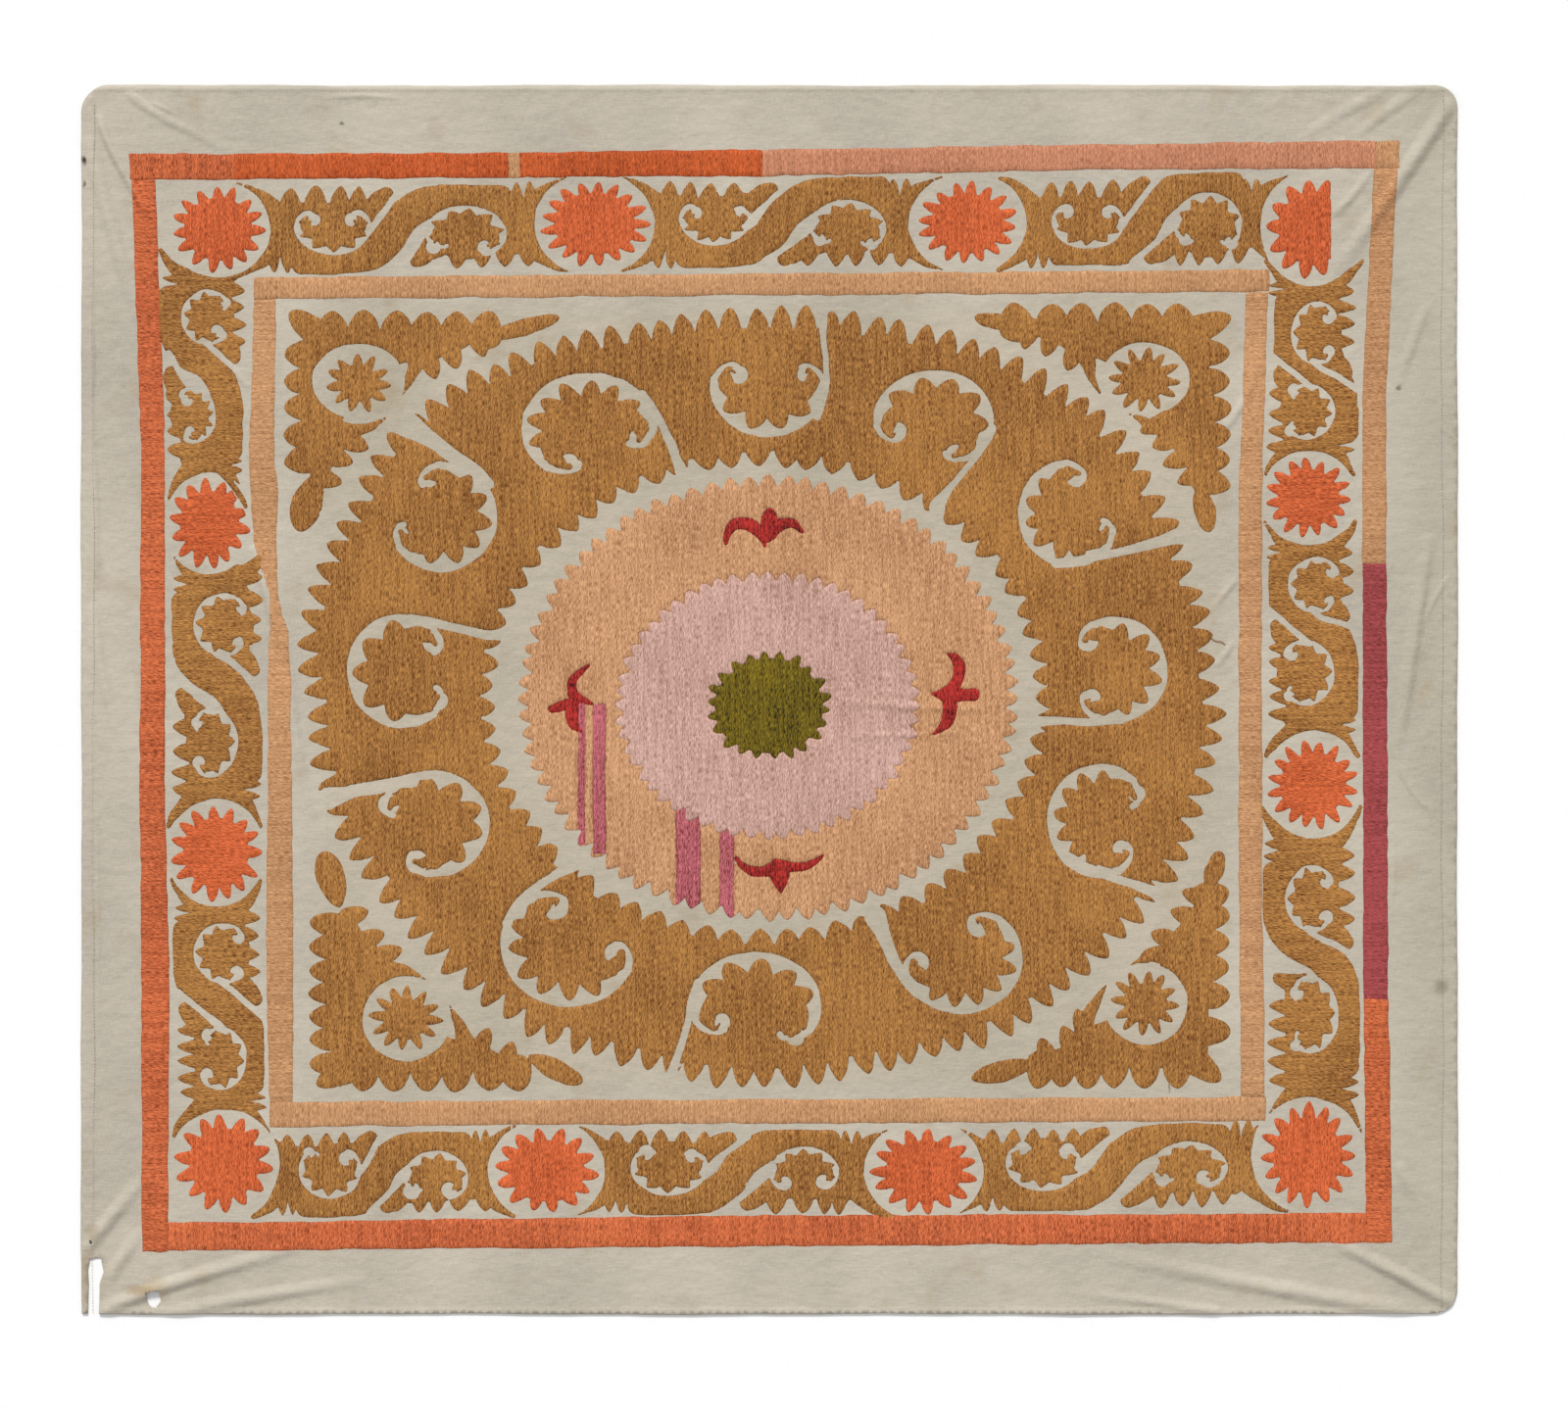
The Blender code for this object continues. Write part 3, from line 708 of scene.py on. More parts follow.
def scroll(patch, form):
    """Two curled leaves on an S stem between two suns; the second half is drawn like the first,
    turned, with its own measures."""
    long = (form.end - form.start) / 2
    tall = (form.start_half + form.end_half) / 2
    lengthwise, crosswise = long / SCROLL_HALF_LENGTH, tall / SCROLL_HALF_HEIGHT
    scale = math.sqrt(lengthwise * crosswise)
    leaves, channels = [], []

    def border_at(along):
        """The border's middle line and half height at a place along it."""
        share = (along - form.start) / (form.end - form.start)
        return (form.start_middle + (form.end_middle - form.start_middle) * share,
                form.start_half + (form.end_half - form.start_half) * share)

    def place(along, across, *width):
        """Turn a place along and across the border into one of the drawing."""
        return ((across, along) if form.upright else (along, across)) + width

    # Where the stem crosses the middle line, a little before halfway between the two leaves
    crossing = (form.halves[0].leaf_end + form.halves[1].leaf_end) / 2 - 4
    crossing_middle = border_at(crossing)[0]
    for turned, half in zip((1, -1), form.halves):
        # The comb's side of the middle line
        side = turned * (1 if form.upright else -1)

        def at(x, y, *width):
            along = (form.start + form.end) / 2 + turned * x * lengthwise
            line, tallness = border_at(along)
            across = line - side * y / SCROLL_HALF_HEIGHT * tallness
            width = tuple(value * scale for value in width)
            return place(along + rng.uniform(-0.6, 0.6), across + rng.uniform(-0.6, 0.6), *width)

        for rows in (CRESCENT, TRUNK):
            patch.add(stroke([at(*row) for row in rows]))
        middle = (half.leaf_start + half.leaf_end) / 2
        bulbs_middle = (half.sun_bulb[1] + half.horn_bulb[1]) / 2
        leaf_half = max(LEAF_HALF_HEIGHT * crosswise, abs(bulbs_middle - half.leaf_far) / 1.5)
        leaf_middle = half.leaf_far + side * leaf_half
        leaf_long = abs(half.leaf_end - half.leaf_start) / 2
        patch.add(stroke([at(*row) for row in BAR]
                         + [place(half.leaf_end - turned * 8, leaf_middle + side * 17, 20)]))
        filled = place(leaf_long - 1, leaf_half - 1)
        patch.add(oval(*place(middle, leaf_middle), *filled))
        # The S stem, which keeps its far edge until it crosses to the other side
        stem_middle = (half.stem_edge + half.leaf_far) / 2 + side
        stem_width = abs(half.stem_edge - half.leaf_far) + 3
        beside_trunk = (form.start + form.end) / 2 - turned * 97 * lengthwise
        beside_leaf = half.leaf_start + turned * 8
        stem_start = min(beside_trunk, beside_leaf) if turned > 0 else max(beside_trunk, beside_leaf)
        patch.add(stroke([at(*STEM_ROOTS[0]),
                          place(half.leaf_start + turned * 6, leaf_middle - side * 6, 36)]))
        patch.add(stroke([at(*STEM_ROOTS[1]), place(middle - turned * 14, stem_middle, stem_width)]))
        leaving = middle + turned * leaf_long * 0.25
        stem = [place(stem_start, stem_middle - side, stem_width - 2),
                place(middle - turned * 10, stem_middle, stem_width),
                place(leaving, stem_middle, stem_width)]
        for ahead, aside in CROSSING_STEPS:
            stem.append(place(leaving + (crossing - leaving) * ahead,
                              stem_middle + (crossing_middle - stem_middle) * aside,
                              stem_width + (CROSSING_WIDTH * crosswise - stem_width)
                              * min(1.0, ahead * 1.8)))
        patch.add(stroke(stem))
        # The comb, and the small teeth across from it
        tips = half.tips
        gap = (tips[-1] - tips[0]) / (len(tips) - 1)
        for number, along in enumerate(tips):
            before = along - tips[number - 1] if number else gap
            after = tips[number + 1] - along if number + 1 < len(tips) else gap
            line = border_at(along)[0]
            reach = tall * rng.uniform(0.92, 0.97)
            patch.add(petal(place(along - turned * 1.5, line + side * 18), place(along, line + side * reach),
                            abs(before + after) * 0.26, 1.7, 1.5))
        for x in SMALL_TEETH:
            patch.add(petal(at(x, 22), at(x, 45), 7 * lengthwise, 1.8, 1.6))
        # The horn, cut off from the stem by the channel that leads out of the C
        root = np.array([half.leaf_end + turned, leaf_middle + side * 7])
        tip = np.array(half.horn)
        ahead = (tip - root) / np.hypot(*(tip - root))
        aside = np.array([-ahead[1], ahead[0]])
        if aside[0] * turned > 0:
            aside = -aside
        patch.add(stroke([place(*(root + aside * 10 - ahead * 4), 19),
                          place(*((root + tip) / 2 + aside * 5.5), 18), place(*(tip - ahead * 8), 15.5)]))
        patch.add(stroke([place(*(root + aside * 9 + ahead * 5), 15), place(*root, 2)]))
        channels.append([place(root[0] - turned * 5, root[1] - side * 12, 6),
                         place(*(root - aside * 3.5 - ahead * 3), 5.5),
                         place(*((root + tip) / 2 - aside * 6.5), 5.5),
                         place(*(tip - aside * 10), 6), place(*(tip + ahead * 8 - aside * 11), 7)])
        aim = (180 if form.upright else 90) + (0 if turned > 0 else 180)
        bulbs = [place(*bulb) for bulb in (half.horn_bulb, half.sun_bulb)]
        leaves.append((place(middle, leaf_middle), place(leaf_long, leaf_half), aim, bulbs))

    for leaf_place, radii, aim, bulbs in leaves:
        curled_leaf(patch, leaf_place, radii, aim, bulbs, 5)
    for channel in channels:
        patch.cut(stroke(channel))


# Medallion

PEACH_OVAL = (783.5, 712.7, 243.5, 216)
PINK_OVAL = (783.4, 720.2, 147, 129)
GREEN_OVAL = (784.6, 720.7, 65, 57)
PEACH_TEETH, PINK_TEETH, GREEN_PETALS = 80, 56, 22

# How far a colour runs on under the one beside it
TUCK = 0.9

# Bars of magenta let into the peach, each an upright strip: left, right, top, bottom
MAGENTA_BARS = [(589.5, 597.5, 716, 862), (604.5, 618.7, 718, 872), (689.4, 715, 818, 940),
                (733.7, 749.4, 838, 944)]

# Small crimson birds on the peach, each as brush strokes of x, y and width
BIRDS = [
    [(741, 555, 4), (743, 545, 8), (750, 536, 11), (761, 535, 12), (772, 541, 11), (779, 549, 7),
     (781, 557, 3)],
    [(785, 524, 9), (785, 531, 16), (786, 540, 17), (783, 549, 8)],
    [(788, 540, 14), (800, 535, 11), (810, 535, 8), (819, 543, 3)],
    [(751, 876, 3), (757, 884, 6), (768, 890, 9), (780, 890, 10), (790, 887, 14)],
    [(791, 880, 6), (795, 888, 18), (796, 898, 15), (797, 910, 3)],
    [(795, 886, 16), (808, 885, 9), (822, 884, 8), (833, 879, 5), (840, 873, 2)],
    [(601, 679, 3), (593, 685, 6), (586, 693, 8), (584, 703, 9), (588, 712, 11), (604, 718, 2)],
    [(563, 724, 7), (572, 721, 9), (585, 717, 10)],
    [(586, 718, 12), (584, 730, 12), (586, 739, 9), (592, 746, 4)],
    [(968, 668, 3), (974, 672, 8), (979, 681, 11), (978, 692, 10), (973, 703, 12)],
    [(973, 709, 15), (986, 709, 11), (994, 709, 12)],
    [(968, 709, 16), (960, 709, 8), (952, 708.5, 3)],
    [(970, 712, 14), (970, 724, 13), (967, 735, 11), (960, 743, 7), (952, 749, 2)],
]


def medallion(patches):
    """The round medallion: green in pink in peach, with magenta bars and crimson birds."""
    peach, magenta = patches["peach"], patches["magenta"]
    toothed_oval(peach, *PEACH_OVAL, PEACH_TEETH, 11.5)
    toothed_oval(patches["pink"], *PINK_OVAL, PINK_TEETH, 9)
    flower(patches["green"], *GREEN_OVAL, GREEN_PETALS, 0.82, 4)
    for left, right, top, bottom in MAGENTA_BARS:
        bar = band([(top, left), (bottom, left)], [(top, right), (bottom, right)], top, bottom, True)
        magenta.add(bar)
    for bird in BIRDS:
        patches["crimson"].add(stroke([(x, y, width * 1.1 + 1) for x, y, width in bird]))
    magenta.inside = np.minimum(magenta.inside, peach.inside)
    for over, under in (("pink", "magenta"), ("pink", "peach"), ("crimson", "peach"), ("magenta", "peach"),
                        ("green", "pink")):
        patches[under].inside = np.minimum(patches[under].inside, TUCK - patches[over].inside)


# Frame stripes

# The outer stripe's edges as rows of place along and place across, and its coloured lengths
TOP_EDGE = [(133, 157), (500, 156), (900, 151), (1200, 146), (1427, 143)]
TOP_INNER_EDGE = [(133, 184), (780, 180), (1100, 174), (1427, 172)]
BOTTOM_INNER_EDGE = [(145, 1248), (785, 1240), (1421, 1238)]
BOTTOM_EDGE = [(145, 1277), (785, 1272), (1421, 1268)]
LEFT_EDGE = [(157, 133), (250, 137), (420, 143), (800, 143), (1000, 144), (1277, 145)]
LEFT_INNER_EDGE = [(157, 157), (250, 162), (420, 168), (800, 169), (1000, 173), (1277, 172)]
RIGHT_INNER_EDGE = [(143, 1403), (400, 1390), (575, 1390), (1020, 1391), (1268, 1394)]
RIGHT_EDGE = [(143, 1427), (400, 1415), (575, 1415), (1020, 1417), (1268, 1421)]
Length = namedtuple("Length", "colour first second start end upright")
OUTER_STRIPE = [
    Length("salmon", TOP_EDGE, TOP_INNER_EDGE, 133, 240, False),
    Length("orange", TOP_EDGE, TOP_INNER_EDGE, 240, 518, False),
    Length("tan", TOP_EDGE, TOP_INNER_EDGE, 518, 530, False),
    Length("orange", TOP_EDGE, TOP_INNER_EDGE, 530, 778, False),
    Length("rose", TOP_EDGE, TOP_INNER_EDGE, 778, 1404, False),
    Length("tan", TOP_EDGE, TOP_INNER_EDGE, 1404, 1427, False),
    Length("tan_side", RIGHT_INNER_EDGE, RIGHT_EDGE, 172, 575, True),
    Length("wine_side", RIGHT_INNER_EDGE, RIGHT_EDGE, 575, 1020, True),
    Length("salmon_side", RIGHT_INNER_EDGE, RIGHT_EDGE, 1020, 1268, True),
    Length("salmon", BOTTOM_INNER_EDGE, BOTTOM_EDGE, 172, 1395, False),
    Length("salmon_side", LEFT_EDGE, LEFT_INNER_EDGE, 184, 1277, True),
]

INNER_LEFT_EDGE = [(283, 260), (420, 255), (470, 254), (517, 255.5), (553, 259.5), (579, 266), (604, 275),
                   (628, 276), (658, 274), (1000, 272), (1150, 276)]
INNER_LEFT_FAR = [(283, 283), (420, 280), (470, 281), (502, 284), (551, 282.5), (584, 283), (607, 284),
                  (628, 288), (643, 294), (671, 297), (1000, 300), (1150, 299)]
INNER_STRIPE = [
    Length("apricot", [(260, 283), (1294, 275)], [(260, 306), (1294, 298)], 260, 1294, False),
    Length("apricot", [(276, 1124), (1291, 1119)], [(276, 1150), (1291, 1144)], 276, 1291, False),
    Length("apricot_side", INNER_LEFT_EDGE, INNER_LEFT_FAR, 306, 1124, True),
    Length("apricot_side", [(275, 1272), (500, 1264), (900, 1264), (1144, 1266)],
           [(275, 1294), (500, 1288), (900, 1288), (1144, 1291)], 299, 1119, True),
]

# The sun at the top right is unfinished: its flat side, the far edge of what is missing, and
# the rows between which it lies
FLAT_SIDE, MISSING_EDGE = 1358, 1420
FLAT_ROWS = (150, 300)

# The suns between these rows stand in the side borders
SIDE_ROWS = (300, 1100)

# How far each length of stripe runs on, so that two colours meet without a gap
MEETING = 0.8


def drawn_patches():
    """Every colour's stitched area."""
    names = list(THREADS) + [name + "_side" for name in SIDEWAYS]
    patches = {name: Patch() for name in names}
    for form in SCROLLS:
        scroll(patches["brown_side" if form.upright else "brown"], form)
    for form in SUNS:
        for brown in ("brown", "brown_side"):
            patches[brown].cut(oval(form.x, form.y, form.bare_rx, form.bare_ry))
        sun = patches["sun_side" if SIDE_ROWS[0] < form.y < SIDE_ROWS[1] else "sun"]
        flower(sun, form.x, form.y, form.rx, form.ry, form.petals, SUN_CORE, form.turn)
    patches["brown_side"].add(stroke(PINCHED_ARM))
    patches["sun_side"].cut(region(PINCHED_AWAY))
    flat, missing = ([(row, edge) for row in FLAT_ROWS] for edge in (FLAT_SIDE, MISSING_EDGE))
    patches["sun"].cut(band(flat, missing, *FLAT_ROWS, True))
    ring(patches["brown"])
    for form in SPRAYS:
        spray(patches["brown"], form)
    medallion(patches)
    for form in OUTER_STRIPE + INNER_STRIPE:
        patches[form.colour].add(band(form.first, form.second, form.start - MEETING, form.end + MEETING,
                                      form.upright))
    return patches


# Meshes from the drawn areas

def to_metres(points):
    """Drawing coordinates as metres from the cloth's middle."""
    points = np.asarray(points, float)
    return np.column_stack([(points[:, 0] - MIDDLE[0]) * UNIT, (MIDDLE[1] - points[:, 1]) * UNIT])


# Each kind of lattice square, by which of its corners are inside, and the lines across it
# from side to side. The corners count 1, 2, 4 and 8 clockwise from the top left.
TOP, RIGHT, BOTTOM, LEFT = range(4)
CROSSINGS = {
    1: [(LEFT, TOP)], 2: [(TOP, RIGHT)], 3: [(LEFT, RIGHT)], 4: [(RIGHT, BOTTOM)],
    5: [(LEFT, TOP), (RIGHT, BOTTOM)], 6: [(TOP, BOTTOM)], 7: [(LEFT, BOTTOM)], 8: [(BOTTOM, LEFT)],
    9: [(BOTTOM, TOP)], 10: [(TOP, RIGHT), (BOTTOM, LEFT)], 11: [(BOTTOM, RIGHT)],
    12: [(RIGHT, LEFT)], 13: [(RIGHT, TOP)], 14: [(TOP, LEFT)],
}


def contour_loops(field, level):
    """The closed lines where a lattice field passes a level, as arrays of x and y."""
    value = field - level
    value[value == 0] = 1e-6
    filled = value > 0
    kind = (filled[:-1, :-1] + filled[:-1, 1:] * 2 + filled[1:, 1:] * 4 + filled[1:, :-1] * 8)
    across = np.arange(value.size).reshape(value.shape) * 2
    sides = {TOP: across[:-1, :-1], BOTTOM: across[1:, :-1],
             LEFT: across[:-1, :-1] + 1, RIGHT: across[:-1, 1:] + 1}
    following = {}
    for number, lines in CROSSINGS.items():
        where = kind == number
        for start, end in lines:
            following.update(zip(sides[start][where].tolist(), sides[end][where].tolist()))
    loops = []
    while following:
        start, here = following.popitem()
        loop = [start]
        while here != start:
            loop.append(here)
            here = following.pop(here)
        loops.append(edge_points(value, np.array(loop)))
    return loops


def edge_points(value, edges):
    """Where each lattice edge is crossed; an even number runs right, an odd one down."""
    first, down = edges // 2, edges % 2 == 1
    row, column = first // COLUMNS, first % COLUMNS
    here = value[row, column]
    after = value[row + down, column + ~down]
    share = here / (here - after)
    return np.column_stack([LATTICE_LEFT + column + share * ~down, LATTICE_TOP + row + share * down])


def thinned(loop, error, longest):
    """The loop without the points that lie close to the line between their neighbours."""
    for turn in range(6):
        before, after = np.roll(loop, 1, axis=0), np.roll(loop, -1, axis=0)
        run = after - before
        length = np.hypot(*run.T) + 1e-9
        off = np.abs((loop[:, 0] - before[:, 0]) * run[:, 1] - (loop[:, 1] - before[:, 1]) * run[:, 0])
        drop = (off / length < error) & (length < longest)
        drop[turn % 2::2] = False
        if len(loop) - drop.sum() < 6:
            break
        loop = loop[~drop]
    return loop


def loop_area(loop):
    """The area inside a closed loop of points."""
    x, y = loop.T
    return abs(np.dot(x, np.roll(y, -1)) - np.dot(y, np.roll(x, -1))) / 2


def fold_zone(x, y, margin=0.0):
    """Which points lie on a fold or a crease."""
    zone = np.zeros(x.shape, bool)
    for fold in FOLDS + CREASES:
        near = near_fold(fold, x, y, margin)
        if near.any():
            distances = [np.hypot(x[near] - crest[0], y[near] - crest[1]) for crest in crest_points(fold)]
            zone[near] |= np.min(distances, axis=0) < fold.width * MM / 2 + margin
    return zone


def sampled(field, x, y):
    """A lattice field's value at drawing coordinates."""
    column, row = np.clip(x - LATTICE_LEFT, 0, COLUMNS - 1.01), np.clip(y - LATTICE_TOP, 0, ROWS - 1.01)
    left, top = column.astype(int), row.astype(int)
    right, down = column - left, row - top
    above = field[top, left] * (1 - right) + field[top, left + 1] * right
    below = field[top + 1, left] * (1 - right) + field[top + 1, left + 1] * right
    return above * (1 - down) + below * down


FINE_SPACING = 2
COARSE_SPACING = 5


def grid_points(field, clearance):
    """Lattice points well inside an area: close together on the folds, wide elsewhere."""
    chosen = []
    for spacing, on_folds in ((FINE_SPACING, True), (COARSE_SPACING, False)):
        rows, columns = np.mgrid[0:ROWS:spacing, 0:COLUMNS:spacing]
        inside = field[rows, columns] > clearance
        rows, columns = rows[inside], columns[inside]
        points = np.column_stack([columns + LATTICE_LEFT, rows + LATTICE_TOP]).astype(float)
        flat = to_metres(points)
        points = points[fold_zone(flat[:, 0], flat[:, 1]) == on_folds]
        chosen.append(points + rng.uniform(-0.3, 0.3, points.shape) * spacing * 0.6)
    return np.vstack(chosen)


# The stitching's height over the cloth by the distance in from its edge, in drawing units
RIM_DISTANCES = (0.0, 0.8, 2.2, 4.0)
RIM_HEIGHTS = (-0.3 * MM, 0.7 * MM, 1.1 * MM, 1.25 * MM)
UNEVENNESS = 0.1 * MM
INSIDE_WITH_HOLES = 2

# For an area's outline and the two rings inside it: how far a point may be off when it is left
# out, and how far apart points may come to lie. Smaller areas than the least one are left out.
THINNING = ((0.09, 6.0), (0.1, 7.0), (0.15, 9.0))
LEAST_AREA = 12

# How far in from the edge the loose inner points begin
DEEP_INSIDE = 3.3


def triangulated(loops, points, tolerance):
    """Points and triangles that fill closed loops, with the points in them too."""
    rims, first = [], 0
    for loop in loops:
        rims.append(list(range(first, first + len(loop))))
        first += len(loop)
    everything = [Vector(point) for point in np.vstack(loops + [points]).tolist()]
    result = delaunay_2d_cdt(everything, [], rims, INSIDE_WITH_HOLES, tolerance)
    return np.array([tuple(point) for point in result[0]]), result[2]


def linked(name, data):
    """A new object of a mesh, light or camera, in the scene."""
    made = bpy.data.objects.new(name, data)
    bpy.context.scene.collection.objects.link(made)
    return made


def new_piece(name, corners, faces):
    """An object of a mesh from its corners and faces, smooth."""
    mesh = bpy.data.meshes.new(name)
    mesh.from_pydata(corners, [], faces)
    mesh.update()
    mesh.shade_smooth()
    return linked(name, mesh)


def stitched_piece(name, field):
    """The raised mesh of one stitched area, following the cloth under it."""
    loops = [thinned(loop, *THINNING[0]) for loop in contour_loops(field, RIM_DISTANCES[0])
             if loop_area(loop) > LEAST_AREA]
    rings = [thinned(loop, *thinning) for distance, thinning in zip(RIM_DISTANCES[1:], THINNING[1:])
             for loop in contour_loops(field, distance)]
    points, faces = triangulated(loops, np.vstack(rings + [grid_points(field, DEEP_INSIDE)]), 0.02)
    depth = sampled(field, points[:, 0], points[:, 1])
    flat = to_metres(points)
    uneven = UNEVENNESS * np.sin(flat[:, 0] * 900) * np.sin(flat[:, 1] * 330)
    height = cloth_height(*flat.T) + CLOTH_THICKNESS
    height += np.interp(depth, RIM_DISTANCES, RIM_HEIGHTS) + uneven * (depth > 1)
    faces = [face[::-1] for face in faces]
    piece = new_piece(name, np.column_stack([flat, height]).tolist(), faces)
    inset = piece.data.attributes.new("inset", "FLOAT", "POINT")
    inset.data.foreach_set("value", np.clip(depth, 0.0, FAR).astype(np.float32))
    return piece


# The ground cloth

GROUND_SPACING = 14 * MM
GROUND_FINE_SPACING = 3 * MM
EDGE_SPACING = 9 * MM
HEM_SPACING = 6 * MM
HOLE_SPACING = 2.2 * MM
CORNER_STEPS = 10

# How near to a side of the cloth a point of its edge belongs to that side
EDGE_ZONE = 45 * MM


def corner_arc(centre, radius, start_angle):
    """Points round a quarter circle, clockwise from start_angle."""
    angles = np.radians(start_angle - 90 * np.arange(CORNER_STEPS + 1) / CORNER_STEPS)
    return [(centre[0] + radius * math.cos(angle), centre[1] + radius * math.sin(angle)) for angle in angles]


def evenly_split(loop, spacing):
    """The closed loop again, with points added so that no side is longer than spacing."""
    result = []
    for here, after in zip(loop, loop[1:] + loop[:1]):
        here, after = np.array(here), np.array(after)
        parts = max(1, math.ceil(math.dist(here, after) / spacing))
        result += [here + (after - here) * part / parts for part in range(parts)]
    return np.array(result)


def edge_wander(x, y):
    """How far the cloth's edge strays inwards, in metres: hand-turned hems are never straight."""
    return (1.5 + 0.8 * np.sin(x * 9.0 + y * 7.0) + 0.5 * np.sin(x * 31.0 - y * 23.0)
            + 0.2 * np.sin(x * 97.0 + y * 83.0)) * 0.9 * MM


def ground_outline():
    """The cloth's edge, clockwise from the top left corner, with the tear let into it."""
    right, top = WIDTH / 2, LENGTH / 2
    loop = []
    for side, end, radius, start_angle in ROUND_CORNERS:
        loop += corner_arc((side * (right - radius), end * (top - radius)), radius, start_angle)
    loop += [(x * MM, y * MM) for x, y in reversed(TEAR)]
    loop.append((-right, -top))
    points = evenly_split(loop, EDGE_SPACING)
    x, y = points.T
    strayed = edge_wander(x, y)
    points[:, 0] -= np.sign(x) * strayed * (np.abs(x) > right - EDGE_ZONE)
    points[:, 1] -= np.sign(y) * strayed * (np.abs(y) > top - EDGE_ZONE)
    return points


def ragged(hole):
    """A worn hole's edge, split up and frayed."""
    points = evenly_split([(x * MM, y * MM) for x, y in hole], HOLE_SPACING)
    return points + rng.uniform(-0.6, 0.6, points.shape) * MM


def ground_points(outline, holes):
    """The sheet's inner points: a fine grid on the folds, lines along the hems, a wide grid elsewhere."""
    right, top = WIDTH / 2, LENGTH / 2
    grids = []
    for spacing, on_folds in ((GROUND_FINE_SPACING, True), (GROUND_SPACING, False)):
        rows = np.arange(-top + 4 * MM, top - 3 * MM, spacing * 0.9)
        columns = np.arange(-right + 4 * MM, right - 3 * MM, spacing)
        y, x = (axis.ravel() for axis in np.meshgrid(rows, columns, indexing="ij"))
        x = x + (np.round((y + top) / spacing / 0.9) % 2) * spacing / 2
        keep = fold_zone(x, y, 2 * MM) == on_folds
        grids.append(np.column_stack([x[keep], y[keep]]))
    for step_out in (0.0, HEM_STEP, HEM_STEP + 1.5 * MM):
        half_x, half_y = right - SIDE_HEM - step_out, top - END_HEM - step_out
        frame_loop = [(-half_x, half_y), (half_x, half_y), (half_x, -half_y), (-half_x, -half_y)]
        grids.append(evenly_split(frame_loop, HEM_SPACING))
    points = np.vstack(grids)
    x, y = points.T
    keep = within(outline, x, y)
    for hole in holes:
        keep &= ~within(hole, x, y)
    return points[keep]


def ground_thickness(x, y):
    """How thick the cloth is at a point: more on its hems."""
    side = (np.abs(x) - (WIDTH / 2 - SIDE_HEM - HEM_STEP)) / HEM_STEP
    end = (np.abs(y) - (LENGTH / 2 - END_HEM - HEM_STEP)) / HEM_STEP
    hem_share = np.clip(np.maximum(side, end), 0, 1)
    return CLOTH_THICKNESS + (HEM_THICKNESS - CLOTH_THICKNESS) * hem_share * hem_share * (3 - 2 * hem_share)


def ground_cloth():
    """The sheet: an underside, the same surface a thickness above it, and its edges closed."""
    outline = ground_outline()
    holes = [ragged(WORN_HOLE), ragged(SMALL_HOLE)]
    points, faces = triangulated([outline] + holes, ground_points(outline, holes), 0.2 * MM)
    x, y = points.T
    sheet = bmesh.new()
    low = cloth_height(x, y)
    corners = [sheet.verts.new(corner) for corner in np.column_stack([x, y, low]).tolist()]
    for face in faces:
        sheet.faces.new([corners[index] for index in face])
    raised = bmesh.ops.extrude_face_region(sheet, geom=sheet.faces[:], use_keep_orig=True)
    sheet.verts.index_update()
    lifted = [part for part in raised["geom"] if isinstance(part, bmesh.types.BMVert)]
    for corner, depth in zip(lifted, ground_thickness(*np.array([v.co.xy for v in lifted]).T).tolist()):
        corner.co.z += depth
    bmesh.ops.recalc_face_normals(sheet, faces=sheet.faces)
    mesh = bpy.data.meshes.new("cloth")
    sheet.to_mesh(mesh)
    sheet.free()
    mesh.shade_smooth()
    return linked("cloth", mesh)


# Materials

# Colours as they look in the studio's light, which lays LIGHT_ON_CLOTH on a flat white cloth
LIGHT_ON_CLOTH = 1.15
COTTON = (194, 185, 169)

# The cotton is a little warmer inside the frame stripes and greyer down its right side
FIELD_TINT = (0.955, 0.94, 0.9, 1.0)
RIGHT_TINT = (0.93, 0.94, 0.925, 1.0)

# The threads: their colour as seen on screen, set so that the render's mean colours come to
# those of the photo, how far their stitches differ in tone and in painted light and shade, and their slot
Thread = namedtuple("Thread", "colour contrast slot")
THREADS = {
    "brown": Thread((162, 112, 57), 1.25, "brown_silk"),
    "sun": Thread((205, 98, 54), 1.0, "red_silk"),
    "peach": Thread((199, 149, 108), 0.9, "peach_silk"),
    "pink": Thread((199, 160, 147), 0.85, "pink_silk"),
    "green": Thread((106, 88, 14), 2.0, "green_silk"),
    "crimson": Thread((160, 40, 34), 1.9, "red_silk"),
    "magenta": Thread((178, 94, 102), 1.25, "pink_silk"),
    "salmon": Thread((197, 101, 60), 1.1, "red_silk"),
    "orange": Thread((191, 88, 42), 1.0, "red_silk"),
    "tan": Thread((191, 141, 99), 0.75, "peach_silk"),
    "rose": Thread((195, 131, 99), 0.75, "peach_silk"),
    "wine": Thread((158, 69, 71), 0.9, "red_silk"),
    "apricot": Thread((196, 146, 103), 0.75, "peach_silk"),
}
HEM_THREAD = (168, 156, 136)
LOOSE_SILK = (150, 96, 50)
FAINT_STAIN = (176, 158, 128)
FLOOR_COLOUR = (255, 255, 255)

# Colours whose upright borders are stitched across, as patches of their own
SIDEWAYS = ("brown", "sun", "salmon", "tan", "wine", "apricot")


def finish_colour(screen_colour, brightness=1.0):
    """A screen colour as the linear base colour that shows as it under the studio's light."""
    linear = [((part / 255 + 0.055) / 1.055) ** 2.4 for part in screen_colour]
    return tuple(min(1.0, part * brightness / LIGHT_ON_CLOTH) for part in linear) + (1.0,)


